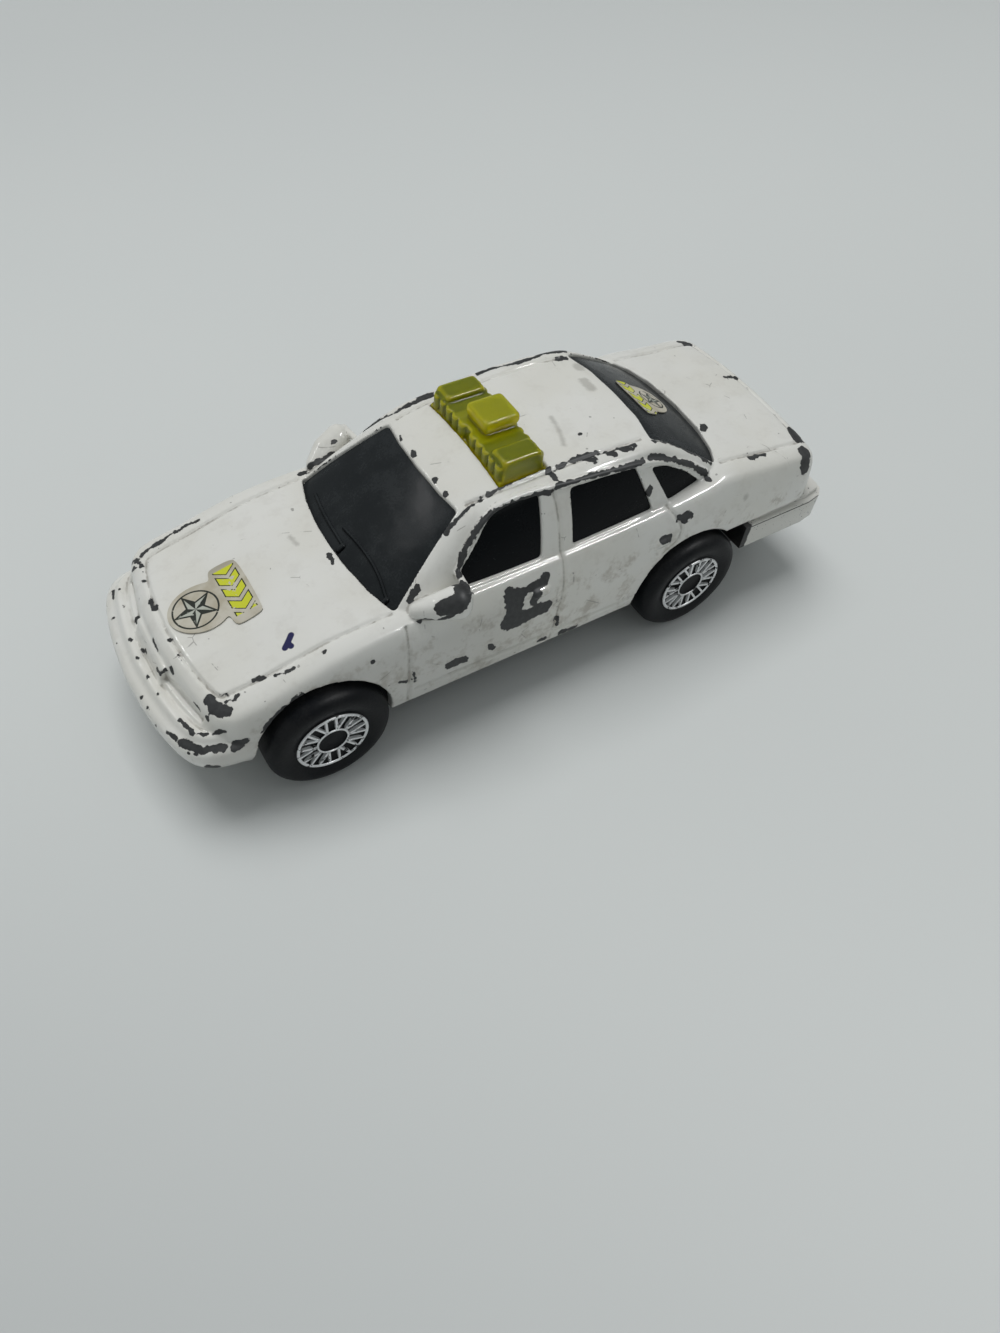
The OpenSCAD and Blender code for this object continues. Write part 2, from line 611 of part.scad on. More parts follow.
// rear bumper in plan, drawn in by d from its outer face
module bumper_plan(d) {
    end_x = tub_front_x - 0.05;
    half = [[end_x, half_w - 0.05 - d], [tail_x + 3, half_w - 0.1 - d], [tail_x + 1.2, half_w - 0.45 - d],
        [tail_x + 0.4 + d * 0.6, half_w - 1.2 - d * 0.6], [tail_x + 0.15 + d, half_w - 3 - d],
        [tail_x + 0.05 + d, 5], [tail_x + d, 0]];
    polygon(concat(half, [for (i = [len(half) - 2 : -1 : 0]) [half[i][0], -half[i][1]]]));
}

// block under an axle, and the round channel that the pin lies in
module saddle(x) {
    translate([x - 2, -well_half, base_z])
        cube([4, 2 * well_half, base_drop]);
}

module axle_channel(x) {
    translate([x, 0, axle_z])
        rotate([90, 0, 0])
            cylinder(r = axle_r + base_gap / 3, h = body_w, center = true, $fn = 32);
}

module rivet_seat(x) {
    translate([x, 0, base_z - 1])
        cylinder(r = rivet_r + base_gap, h = base_t + 2, $fn = 32);
    translate([x, 0, base_z - 1])
        cylinder(r = rivet_head_r + base_gap, h = rivet_sink + rivet_head_t + 1 + base_gap / 2, $fn = 32);
}

module base_plate() {
    tub_half = base_half - 2;
    color([0.07, 0.07, 0.08])
        difference() {
            union() {
                translate([0, 0, base_z])
                    linear_extrude(height = base_t)
                        base_plan();
                saddle(front_x);
                saddle(rear_x);
                translate([0, 0, bumper_z])
                    linear_extrude(height = bumper_h - 0.5)
                        bumper_plan(0);
                translate([0, 0, bumper_z])
                    linear_extrude(height = bumper_h)
                        bumper_plan(0.6);
                translate([tail_x + 2.4, -tub_half, base_z])
                    cube([tub_front_x - tail_x - 2.4, 2 * tub_half, bumper_z - base_z + 0.5]);
            }
            union() {
                translate([tail_x + 4, -tub_half + 1.4, base_z + base_t])
                    cube([tub_front_x - tail_x - 5.2, 2 * tub_half - 2.8, 20]);
                axle_channel(front_x);
                axle_channel(rear_x);
                rivet_seat(front_post_x);
                rivet_seat(rear_post_x);
            }
        }
}

// the axle ends stop short of the wheel faces, with a little play endways in the wheel pockets
axle_tip = 1.2;
head_l = 0.8;
end_play = 0.1;

module axle(x) {
    reach = wheel_face_y - axle_tip;
    color([0.7, 0.71, 0.72])
        translate([x, 0, axle_z])
            rotate([90, 0, 0])
                union() {
                    cylinder(r = axle_r, h = 2 * reach - head_l, center = true, $fn = 32);
                    for (s = [1, -1])
                        translate([0, 0, s * (reach - head_l / 2)])
                            cylinder(r = axle_head_r, h = head_l, center = true, $fn = 32);
                }
}

module front_axle() {
    axle(front_x);
}

module rear_axle() {
    axle(rear_x);
}

// one-piece wheel, drawn from its outer face inwards, with a blind bore that snaps over the axle head
module wheel(x, s) {
    bore = axle_r + run_gap;
    pocket = axle_head_r + 2 * run_gap;
    pocket_out = axle_tip - end_play;
    pocket_in = axle_tip + head_l + end_play;
    boss = axle_head_r + 1;
    hollow = wheel_w - 1.9;
    color([0.09, 0.09, 0.1])
        translate([x, s * wheel_face_y, axle_z])
            rotate([s * 90, 0, 0])
                rotate_extrude($fn = 64)
                    polygon([[0, 0.45], [hub_r, 0.45], [hub_r + 0.05, 0.2], [trim_r - 0.2, 0.12],
                        [trim_r, 0.02], [trim_r + 0.12, 0.3], [trim_r + 0.35, 0.2], [tyre_r - 1.3, 0],
                        [tyre_r - 0.6, 0.15], [tyre_r - 0.15, 0.6], [tyre_r, 1.2], [tyre_r, wheel_w - 0.7],
                        [tyre_r - 0.35, wheel_w - 0.15], [tyre_r - 0.8, wheel_w], [tyre_r - 1.2, wheel_w],
                        [tyre_r - 1.5, hollow], [boss, hollow], [boss, wheel_w], [bore, wheel_w],
                        [bore, pocket_in], [pocket, pocket_in], [pocket, pocket_out], [0, pocket_out]]);
}

module wheel_front_left() {
    wheel(front_x, 1);
}

module wheel_front_right() {
    wheel(front_x, -1);
}

module wheel_rear_left() {
    wheel(rear_x, 1);
}

module wheel_rear_right() {
    wheel(rear_x, -1);
}

// thin sheet over a patch of the car, given as rows of points on the surface under it
module sheet(rows) {
    n = len(rows);
    m = len(rows[0]);
    under = [for (r = rows) each [for (p = r) p + [0, 0, 0.06]]];
    over = [for (r = rows) each [for (p = r) p + [0, 0, 0.06 + label_t]]];
    k = n * m;
    rim = concat([for (j = [0 : m - 1]) j], [for (i = [1 : n - 1]) i * m + m - 1],
        [for (j = [m - 2 : -1 : 0]) (n - 1) * m + j], [for (i = [n - 2 : -1 : 1]) i * m]);
    faces = concat(
        [for (i = [0 : n - 2]) for (j = [0 : m - 2]) let (a = i * m + j)
            each [[a, a + 1, a + m], [a + 1, a + m + 1, a + m]]],
        [for (i = [0 : n - 2]) for (j = [0 : m - 2]) let (a = k + i * m + j)
            each [[a, a + m, a + 1], [a + 1, a + m, a + m + 1]]],
        [for (i = [0 : len(rim) - 1]) let (p = rim[i], q = rim[(i + 1) % len(rim)])
            each [[p, k + p, q], [q, k + p, k + q]]]);
    polyhedron(concat(under, over), faces, convexity = 4);
}

// round badge with a band behind it: distance behind the front of the hood, right edge and left edge
hood_label_rows = [[0.4, -0.9, 0.9], [1.1, -1.9, 1.9], [2.1, -2.5, 2.6], [3.2, -2.7, 2.8], [4.3, -2.5, 2.7],
    [5.2, -2, 2.2], [5.3, -3.3, 3.7], [6.7, -3.3, 3.7], [8, -3.2, 3.6]];

module hood_label() {
    color([0.78, 0.74, 0.68])
        sheet([for (r = hood_label_rows) let (x = hood_x - r[0])
            [for (j = [0 : 8]) let (y = r[1] + (r[2] - r[1]) * j / 8)
                [x - nose_sweep(x, y), y, top_at(x, y)]]]);
}

function back_at(t, y) = let (p = [for (q = cabin_ring(t, glass_sink)) if (q[0] < bar_x) q])
    [lookup(y, [for (q = p) [q[1], q[0]]]), y, lookup(y, [for (q = p) [q[1], q[2]]])];

module rear_window_label() {
    color([0.78, 0.74, 0.68])
        sheet([for (i = [0 : 4]) [for (j = [0 : 8]) back_at(0.84 - i * 0.09, -2.6 + j * 0.7)]]);
}

body_casting();
window_moulding();
light_bar();
base_plate();
front_axle();
rear_axle();
wheel_front_left();
wheel_front_right();
wheel_rear_left();
wheel_rear_right();
hood_label();
rear_window_label();
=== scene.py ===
import json
import bmesh
import bpy
import numpy as np
from mathutils import Matrix, Vector
from mathutils.bvhtree import BVHTree


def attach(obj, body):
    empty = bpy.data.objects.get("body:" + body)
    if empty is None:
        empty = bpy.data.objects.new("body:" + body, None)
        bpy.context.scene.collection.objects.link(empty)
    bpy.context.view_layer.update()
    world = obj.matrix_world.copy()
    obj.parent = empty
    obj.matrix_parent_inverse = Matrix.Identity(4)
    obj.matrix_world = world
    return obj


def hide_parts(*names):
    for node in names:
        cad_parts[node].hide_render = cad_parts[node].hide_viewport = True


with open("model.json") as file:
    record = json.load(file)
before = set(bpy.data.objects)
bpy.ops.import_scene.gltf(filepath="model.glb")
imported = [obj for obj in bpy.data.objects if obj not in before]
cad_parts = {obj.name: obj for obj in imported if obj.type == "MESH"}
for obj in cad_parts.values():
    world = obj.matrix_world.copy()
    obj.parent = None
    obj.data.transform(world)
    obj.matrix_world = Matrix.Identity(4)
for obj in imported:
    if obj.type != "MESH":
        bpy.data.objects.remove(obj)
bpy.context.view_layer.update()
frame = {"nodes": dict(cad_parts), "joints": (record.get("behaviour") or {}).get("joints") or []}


# Base plate: one black plastic moulding with the floor, the axle saddles and the rear bumper, held under
# the casting by two spun rivets. The bumper is sprayed white, with a dark line worn along its top edge.
def put(tree, kind, ins=None, out=0, **settings):
    made = tree.nodes.new(kind)
    for name, value in settings.items():
        setattr(made, name, value)
    for key, value in (ins or {}).items():
        if isinstance(value, bpy.types.NodeSocket):
            tree.links.new(value, made.inputs[key])
        else:
            made.inputs[key].default_value = value
    return made.outputs[out] if made.outputs else None


def calc(tree, operation, *values):
    return put(tree, "ShaderNodeMath", dict(enumerate(values)), operation=operation)


def step(tree, value, low, high):
    return put(tree, "ShaderNodeMapRange", {0: value, 1: low, 2: high}, interpolation_type="SMOOTHSTEP")


def tint(tree, share, first, second):
    return put(tree, "ShaderNodeMix", {0: share, 6: first, 7: second}, 2, data_type="RGBA")


def between(tree, share, first, second):
    return put(tree, "ShaderNodeMix", {0: share, 2: first, 3: second}, data_type="FLOAT")


def grain(tree, where, scale, detail=2.0):
    return put(tree, "ShaderNodeTexNoise", {"Vector": where, "Scale": scale, "Detail": detail})


# the frame is in metres, and the sizes in this script are in millimetres
mm, per_metre = 0.001, 1000.0


def millimetres(tree):
    where = put(tree, "ShaderNodeTexCoord", out=3)
    return put(tree, "ShaderNodeVectorMath", {0: where, 3: per_metre}, operation="SCALE")


def split(tree, where):
    made = tree.nodes.new("ShaderNodeSeparateXYZ")
    tree.links.new(where, made.inputs[0])
    return made.outputs


def finish(name):
    made = bpy.data.materials.new(name)
    made.use_nodes = True
    made.node_tree.nodes.clear()
    return made, made.node_tree


def surface(tree, height=None, depth=0.0, **ins):
    ins = {key.replace("_", " "): value for key, value in ins.items()}
    if height is not None:
        bump = {"Strength": 1.0, "Distance": depth * mm, "Height": height}
        ins["Normal"] = put(tree, "ShaderNodeBump", bump)
    put(tree, "ShaderNodeOutputMaterial", {"Surface": put(tree, "ShaderNodeBsdfPrincipled", ins)})


def shared(name, ins, outs):
    made = bpy.data.node_groups.new(name, "ShaderNodeTree")
    for label, kind in ins.items():
        made.interface.new_socket(name=label, in_out="INPUT", socket_type="NodeSocket" + kind)
    for label, kind in outs.items():
        made.interface.new_socket(name=label, in_out="OUTPUT", socket_type="NodeSocket" + kind)
    return made, made.nodes.new("NodeGroupInput").outputs, made.nodes.new("NodeGroupOutput").inputs


# dull film and fine rubbing that every plastic piece has picked up in handling
handled, given, wanted = shared("handled", {"Place": "Vector", "Amount": "Float"},
                                {"Dust": "Float", "Rub": "Float"})
broad, fine = grain(handled, given["Place"], 0.35, 3.0), grain(handled, given["Place"], 5.0, 4.0)
dusty = step(handled, calc(handled, "MULTIPLY_ADD", fine, 0.5, broad), 0.62, 0.95)
handled.links.new(calc(handled, "MULTIPLY", dusty, given["Amount"]), wanted["Dust"])
drawn = put(handled, "ShaderNodeVectorMath", {0: given["Place"], 1: (0.5, 2.6, 2.6)}, operation="MULTIPLY")
streaks = step(handled, grain(handled, drawn, 3.0, 3.0), 0.6, 0.7)
handled.links.new(calc(handled, "MULTIPLY", streaks, given["Amount"]), wanted["Rub"])


def wear(tree, at, amount):
    made = tree.nodes.new("ShaderNodeGroup")
    made.node_tree = handled
    tree.links.new(at, made.inputs["Place"])
    made.inputs["Amount"].default_value = amount
    return made.outputs


def solid(name, points, faces):
    mesh = bpy.data.meshes.new(name)
    mesh.from_pydata((np.asarray(points, float) * mm).tolist(), [], faces)
    obj = bpy.data.objects.new(name, mesh)
    bpy.context.scene.collection.objects.link(obj)
    return obj


def outward(obj):
    bm = bmesh.new()
    bm.from_mesh(obj.data)
    bmesh.ops.recalc_face_normals(bm, faces=bm.faces)
    bm.to_mesh(obj.data)
    bm.free()
    return obj


def smooth(obj, sharp=None):
    obj.data.polygons.foreach_set("use_smooth", [True] * len(obj.data.polygons))
    if sharp:
        obj.data.set_sharp_from_angle(angle=sharp)


def seat(obj, body, slot, node, *materials):
    if len(obj.data.materials):
        obj.data.materials.clear()
    for made in materials:
        obj.data.materials.append(made)
    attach(obj, body)
    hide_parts(node)


edge_round = 0.14
bumper_from = -27.0
paint_front, paint_foot = (-25.5, -25.65), (7.4, 7.6)
line_below, line_half = 0.18, (0.07, 0.09)

moulded = frame["nodes"]["base_plate"]
points = np.array([moulded.matrix_world @ v.co for v in moulded.data.vertices]) * per_metre
base = solid("base", points, [tuple(p.vertices) for p in moulded.data.polygons])
bm = bmesh.new()
bm.from_mesh(base.data)
bmesh.ops.remove_doubles(bm, verts=bm.verts, dist=0.002 * mm)
bmesh.ops.dissolve_limit(bm, angle_limit=0.01, verts=bm.verts, edges=bm.edges)
hard = [e for e in bm.edges if len(e.link_faces) == 2 and e.calc_face_angle() > 0.5]
bmesh.ops.bevel(bm, geom=hard, offset=edge_round * mm, offset_type="OFFSET", segments=2, profile=0.5,
                affect="EDGES", clamp_overlap=True)
bmesh.ops.triangulate(bm, faces=bm.faces)
bm.to_mesh(base.data)
bm.free()
smooth(base, 0.7)

base_plastic, tree = finish("base_plastic")
at = millimetres(tree)
x, _, z = split(tree, at)
broad, fine = grain(tree, at, 0.9), grain(tree, at, 3.5, 4.0)
dust, rub = wear(tree, at, 0.5)
flanks = abs(points[:, 1]) > abs(points[:, 1]).max() - 0.05
rim = float(points[flanks & (points[:, 0] < bumper_from)][:, 2].max())
behind = step(tree, calc(tree, "MULTIPLY_ADD", broad, 0.7, x), *paint_front)
above = step(tree, z, *paint_foot)
height = calc(tree, "MULTIPLY_ADD", calc(tree, "SUBTRACT", fine, 0.5), 0.06, z)
off_line = calc(tree, "ABSOLUTE", calc(tree, "SUBTRACT", height, rim - line_below))
white = calc(tree, "MULTIPLY", calc(tree, "MULTIPLY", behind, above), step(tree, off_line, *line_half))
white = calc(tree, "MULTIPLY", white, step(tree, fine, 0.69, 0.66))
black = tint(tree, dust, (0.011, 0.0115, 0.012, 1), (0.06, 0.056, 0.05, 1))
surface(tree, calc(tree, "MULTIPLY_ADD", fine, 0.15, white), 0.05,
        Base_Color=tint(tree, white, black, (0.68, 0.67, 0.63, 1)),
        Roughness=between(tree, white, calc(tree, "MULTIPLY_ADD", rub, 0.2, 0.45), 0.3))
seat(base, "car", "base_plastic", "base_plate", base_plastic)


# Axles: two drawn steel pins that lie in the saddles of the base, each end upset to a head that a wheel
# snaps over. Only their dull ends and a little of the middle ever show.
axle_steel, tree = finish("axle_steel")
at = millimetres(tree)
turned = put(tree, "ShaderNodeVectorMath", {0: at, 1: (1.0, 0.15, 1.0)}, operation="MULTIPLY")
drawn, spots = grain(tree, turned, 6.0, 3.0), step(tree, grain(tree, at, 1.6, 4.0), 0.56, 0.72)
surface(tree, drawn, 0.01, Base_Color=tint(tree, spots, (0.52, 0.52, 0.51, 1), (0.2, 0.15, 0.1, 1)),
        Metallic=between(tree, spots, 1.0, 0.4), Roughness=calc(tree, "MULTIPLY_ADD", drawn, 0.25, 0.25))
for name in ("front_axle", "rear_axle"):
    for held in frame["nodes"][name].material_slots:
        held.material = axle_steel


# Wheels: one-piece black plastic wheels with the tyre moulded on, and a lace of ribs between two rings on
# the face. Hot foil has silvered the rings and ribs, thin in places; the hub disc is left black.
def rounded(points, passes, closed=False):
    p = np.asarray(points, float)
    for _ in range(passes):
        after = np.roll(p, -1, 0) if closed else p[1:]
        before = p if closed else p[:-1]
        pair = [0.75 * before + 0.25 * after, 0.25 * before + 0.75 * after]
        cut = np.stack(pair, 1).reshape(-1, p.shape[1])
        p = cut if closed else np.vstack([p[:1], cut, p[-1:]])
    return p


def loft(name, rings):
    rings = np.asarray(rings, float)
    n, m = rings.shape[:2]

    def at(i, j):
        return i * m + j % m
    faces = [(at(i, j), at(i, j + 1), at(i + 1, j + 1), at(i + 1, j)) for i in range(n - 1) for j in range(m)]
    faces += [(n * m, at(0, j + 1), at(0, j)) for j in range(m)]
    faces += [(n * m + 1, at(n - 1, j), at(n - 1, j + 1)) for j in range(m)]
    points = np.vstack([rings.reshape(-1, 3), rings[0].mean(0), rings[-1].mean(0)])
    return outward(solid(name, points, faces))


def apply(obj):
    graph = bpy.context.evaluated_depsgraph_get()
    mesh = bpy.data.meshes.new_from_object(obj.evaluated_get(graph))
    obj.modifiers.clear()
    old, obj.data = obj.data, mesh
    bpy.data.meshes.remove(old)
    return obj


def repeater(name, ins):
    made = bpy.data.node_groups.new(name, "GeometryNodeTree")
    made.interface.new_socket(name="Shape", in_out="OUTPUT", socket_type="NodeSocketGeometry")
    knobs = {label: made.interface.new_socket(name=label, in_out="INPUT", socket_type="NodeSocket" + kind)
             for label, kind in ins.items()}
    return made, knobs, made.nodes.new("NodeGroupInput").outputs


def set_down(tree, instances, material):
    real = put(tree, "GeometryNodeRealizeInstances", {0: instances})
    real = put(tree, "GeometryNodeSetMaterial", {"Geometry": real, "Material": material})
    tree.links.new(real, tree.nodes.new("NodeGroupOutput").inputs[0])


def repeated(tree, knobs, **settings):
    obj = solid(tree.name, np.zeros((0, 3)), [])
    grow = obj.modifiers.new(tree.name, "NODES")
    grow.node_group = tree
    for label, value in settings.items():
        grow[knobs[label].identifier] = value
    return apply(obj)


wheel_plastic, tree = finish("wheel_plastic")
at = millimetres(tree)
dust, rub = wear(tree, at, 0.45)
black = tint(tree, dust, (0.004, 0.005, 0.0068, 1), (0.022, 0.022, 0.022, 1))
dull = calc(tree, "MULTIPLY_ADD", dust, 0.2, calc(tree, "MULTIPLY_ADD", rub, 0.1, 0.42))
surface(tree, grain(tree, at, 4.0, 3.0), 0.02, Base_Color=black, Roughness=dull, Specular_IOR_Level=0.14)

foil, tree = finish("foil")
at = millimetres(tree)
patchy = calc(tree, "MULTIPLY_ADD", grain(tree, at, 7.0, 3.0), 0.45, grain(tree, at, 1.3, 2.0))
thin = step(tree, patchy, 0.84, 0.9)
surface(tree, grain(tree, at, 9.0, 2.0), 0.03,
        Base_Color=tint(tree, thin, (0.83, 0.84, 0.85, 1), (0.01, 0.011, 0.013, 1)),
        Metallic=between(tree, thin, 0.25, 0.0), Roughness=between(tree, thin, 0.35, 0.45))

# pairs of ribs that lean towards each other, set out round the hub
lace, knobs, given = repeater("lace", {"Pairs": "Int", "Reach": "Float", "Bearing": "Float", "Lean": "Float",
                                       "Size": "Vector", "Foil": "Material"})
index = put(lace, "GeometryNodeInputIndex")
hand = calc(lace, "MULTIPLY_ADD", calc(lace, "MODULO", index, 2.0), 2.0, -1.0)
pitch = calc(lace, "DIVIDE", 2 * np.pi, given["Pairs"])
turn = calc(lace, "MULTIPLY", calc(lace, "FLOOR", calc(lace, "DIVIDE", index, 2.0)), pitch)
bearing = calc(lace, "MULTIPLY_ADD", hand, given["Bearing"], turn)
across = calc(lace, "MULTIPLY", calc(lace, "COSINE", bearing), given["Reach"])
upward = calc(lace, "MULTIPLY", calc(lace, "SINE", bearing), given["Reach"])
spot = put(lace, "ShaderNodeCombineXYZ", {0: across, 1: upward})
count = calc(lace, "MULTIPLY", given["Pairs"], 2.0)
spots = put(lace, "GeometryNodePoints", {"Count": count, "Position": spot})
lean = put(lace, "ShaderNodeCombineXYZ", {2: calc(lace, "MULTIPLY_ADD", hand, given["Lean"], turn)})
ribs = put(lace, "GeometryNodeInstanceOnPoints", {
    "Points": spots, "Instance": put(lace, "GeometryNodeMeshCube", {"Size": given["Size"]}),
    "Rotation": put(lace, "FunctionNodeEulerToRotation", {0: lean})})
set_down(lace, ribs, given["Foil"])

rib_pairs, rib_wide, rib_thick = 10, 0.22, 0.4
rib_starts, rib_ends, rib_swing = 1.5, 3.46, 0.17
inner = np.array((rib_starts, 0.0))
outer = rib_ends * np.array((np.cos(rib_swing), np.sin(rib_swing)))
middle, run = (inner + outer) / 2, outer - inner
maker = repeated(lace, knobs, Pairs=rib_pairs, Reach=float(np.hypot(*middle)),
                 Bearing=float(np.arctan2(*middle[::-1])), Lean=float(np.arctan2(*run[::-1])),
                 Size=(float(np.hypot(*run)), rib_wide, rib_thick), Foil=foil)
rib_points = np.array([v.co for v in maker.data.vertices])
rib_faces = [tuple(p.vertices) for p in maker.data.polygons]
bpy.data.objects.remove(maker)

# the turned section of a wheel: radius, and depth behind the outer face
hub_disc = [(0.03, 0.42), (1.36, 0.42)]
hub_ring = [(1.42, 0.14), (1.52, 0.1), (1.62, 0.14), (1.66, 0.5)]
trim_ring = [(3.2, 0.46), (3.27, 0.12), (3.42, 0.06), (3.57, 0.12), (3.6, 0.34)]
tyre_wall = [(3.8, 0.3), (4.15, 0.16), (4.8, 0.0), (5.45, 0.12), (5.95, 0.6)]
tread = [(6.1, 1.2), (6.1, 3.5), (5.75, 4.05)]
back = [(5.3, 4.2), (4.9, 4.2), (4.6, 2.3), (1.85, 2.3), (1.85, 4.2)]
bore = [(0.66, 4.2), (0.66, 2.1), (0.97, 2.1), (0.97, 1.1), (0.03, 1.1)]
profile = rounded(hub_disc + hub_ring + trim_ring + tyre_wall + tread + back + bore, 2)

wheel_face, rib_depth, foil_depth = 13.5, 0.37, 0.19
hub_foil, trim_foil = 0.14, 0.17
around = np.linspace(0, 2 * np.pi, 120, endpoint=False)
for joint in frame["joints"]:
    body = joint["child"]
    cx, cy, cz = np.round(np.array(joint["pos_m"]) * per_metre, 4)
    side = np.sign(cy)
    tyre = loft("tyre", [[(cx + r * np.cos(a), side * (wheel_face - d), cz + r * np.sin(a)) for a in around]
                         for r, d in profile])
    points = np.array([v.co for v in tyre.data.vertices]) * per_metre
    faces = [tuple(p.vertices) for p in tyre.data.polygons]
    placed = np.stack([cx + rib_points[:, 0], side * (wheel_face - rib_depth + rib_points[:, 2]),
                       cz + rib_points[:, 1]], 1)
    bpy.data.objects.remove(tyre)
    wheel = outward(solid("wheel_" + body, np.vstack([points, placed]),
                          faces + [tuple(np.add(f, len(points))) for f in rib_faces]))
    centre = np.array([p.center for p in wheel.data.polygons]) * per_metre
    reach, depth = np.hypot(centre[:, 0] - cx, centre[:, 2] - cz), wheel_face - side * centre[:, 1]
    rings = (abs(reach - hub_ring[1][0]) < hub_foil) | (abs(reach - trim_ring[2][0]) < trim_foil)
    silver = (depth < foil_depth) & rings
    silver |= np.arange(len(centre)) >= len(faces)
    wheel.data.polygons.foreach_set("material_index", silver.astype(np.int32))
    smooth(wheel, 0.7)
    seat(wheel, body, "wheel_plastic", "wheel_" + body, wheel_plastic, foil)


# Window moulding: one piece of black styrene pressed up inside the casting, so every pane stands a little
# below the paint. The parked wipers are moulded on the windscreen. Its gloss is hazed by dust, and its upward
# panes carry a painted sheen.
roof_middle, roof_top = 0.25, 23.5
# left half of the cabin from front to back: its foot, its roof edge, and the way that each point faces
foot = [(17.6, 0, 15.2), (17.45, 3.2, 15.2), (16.9, 6.5, 15.2), (15.8, 9.4, 15.2), (14.4, 10.35, 15.3),
        (10.1, 10.6, 15.4), (4.6, 10.8, 15.6), (-2.75, 10.75, 15.8), (-11.8, 10.6, 16.2), (-16.8, 10.3, 16.7),
        (-21.7, 9.8, 17.2), (-23.5, 8.8, 17.2), (-24.7, 5.6, 17.2), (-25.2, 0, 17.2)]
roof = [(7.5, 0, 22.35), (7.42, 2.4, 22.3), (7.25, 4.6, 22.2), (7.1, 6.6, 22.05), (6.2, 7.6, 22.15),
        (3.0, 8.0, 22.55), (-1.25, 8.15, 22.8), (-4.75, 8.4, 23.1), (-9.3, 8.5, 23.2), (-12.1, 8.4, 23.15),
        (-13.4, 8.1, 23.05), (-14.1, 7.0, 22.85), (-14.5, 3.8, 23.0), (-14.6, 0, 23.1)]
facing = [(1, 0), (1, 0.35), (1, 0.7), (1, 0.95), (0.7, 1), (0.4, 1), (0.2, 1), (0, 1), (-0.4, 1), (-0.7, 1),
          (-1, 0.95), (-1.15, 0.8), (-1.2, 0.5), (-1.2, 0)]
half = np.hstack([foot, roof, facing])
cabin_plan = rounded(np.vstack([half, half[-2:0:-1] * (1, -1, 1, 1, -1, 1, 1, -1)]), 2, True)


def cabin(name, inset, soft=0, sink=0.0):
    low_edge, high_edge, way = cabin_plan[:, :3], cabin_plan[:, 3:6], cabin_plan[:, 6:]
    level = np.zeros(len(way))
    rows = []
    for t in np.linspace(0, 1, 28):
        low = low_edge - np.stack([1.64 * inset * way[:, 0], 1.1 * inset * way[:, 1], level], 1)
        high = high_edge - np.stack([0.34 * inset * way[:, 0], 0.64 * inset * way[:, 1], level + inset], 1)
        bulge = np.stack([way[:, 0], way[:, 1], level + 0.3], 1)
        rows.append((1 - t) * low + t * high + 0.88 * t * (1 - t) * bulge)
    edge = rows[-1]
    for t in np.linspace(0.04, 0.9, 22):
        z = edge[:, 2] + (roof_top - inset - edge[:, 2]) * (1 - (1 - t) ** 2)
        rows.append(np.stack([edge[:, 0] * (1 - t) + roof_middle * t, edge[:, 1] * (1 - t), z], 1))
    rows = np.array(rows)
    for _ in range(soft):
        rows[1:-1] = 0.25 * rows[:-2] + 0.5 * rows[1:-1] + 0.25 * rows[2:]
    if sink:
        rows = np.concatenate([rows[:1] - (0, 0, sink), rows])
    return loft(name, rows)


def prism(name, outline, axis, low, high):
    outline, k = np.asarray(outline, float), "xyz".index(axis)
    n = len(outline)
    faces = [tuple(range(n)), tuple(range(2 * n - 1, n - 1, -1))]
    faces += [(i, (i + 1) % n, n + (i + 1) % n, n + i) for i in range(n)]
    ends = [np.insert(outline, k, level, axis=1) for level in (low, high)]
    return outward(solid(name, np.vstack(ends), faces))


def carve(obj, tools, how):
    for tool in tools:
        cut = obj.modifiers.new(how, "BOOLEAN")
        cut.operation, cut.solver, cut.object = how, "MANIFOLD", tool
        apply(obj)
        bpy.data.objects.remove(tool)
    return obj


def corners(points, bite):
    p, turned = np.asarray(points, float), []
    for a, b, c in zip(np.roll(p, 1, 0), p, np.roll(p, -1, 0)):
        start, end = [b + (q - b) * min(0.45, bite / np.linalg.norm(q - b)) for q in (a, c)]
        turned += [(1 - t) ** 2 * start + 2 * t * (1 - t) * b + t * t * end for t in np.linspace(0, 1, 6)]
    return np.array(turned)


def both(points):
    return list(points) + [(x, -y) for x, y in reversed(points) if y > 0]


# panes: the three of each side as place and height, the two screens as place and half width
front_pane = [(8.3, 16.25), (8.45, 17.95), (7.0, 19.35), (4.7, 21.75), (2.5, 22.15), (-0.3, 22.2),
              (0.1, 16.35)]
rear_pane = [(-3.4, 16.4), (-3.4, 22.05), (-10.6, 22.0), (-12.85, 16.75)]
quarter_pane = [(-14.9, 16.9), (-12.5, 21.25), (-14.3, 20.85), (-16.9, 19.35), (-18.9, 17.6)]
screen = [(16.6, 0), (16.48, 3.2), (15.95, 6.5), (15.0, 9.55), (7.05, 6.5), (7.44, 3.7), (7.6, 0)]
back_screen = [(-23.1, 0), (-22.85, 4.1), (-22.18, 7.1), (-21.33, 8.88), (-13.55, 7.2), (-14.2, 4),
               (-14.3, 0)]
pane_corner = 0.4


def openings(gap):
    def inset(points):
        p = corners(points, pane_corner)
        away = p - p.mean(0)
        return p - gap * away / np.linalg.norm(away, axis=1)[:, None]
    made = [prism("side", inset(pane), "y", *sorted((s * 5.5, s * 11.6)))
            for s in (1, -1) for pane in (front_pane, rear_pane, quarter_pane)]
    made.append(prism("front", inset(both(screen)), "z", 14.9, 23))
    return made + [prism("back", inset(both(back_screen)), "z", 16.8, 23.9)]


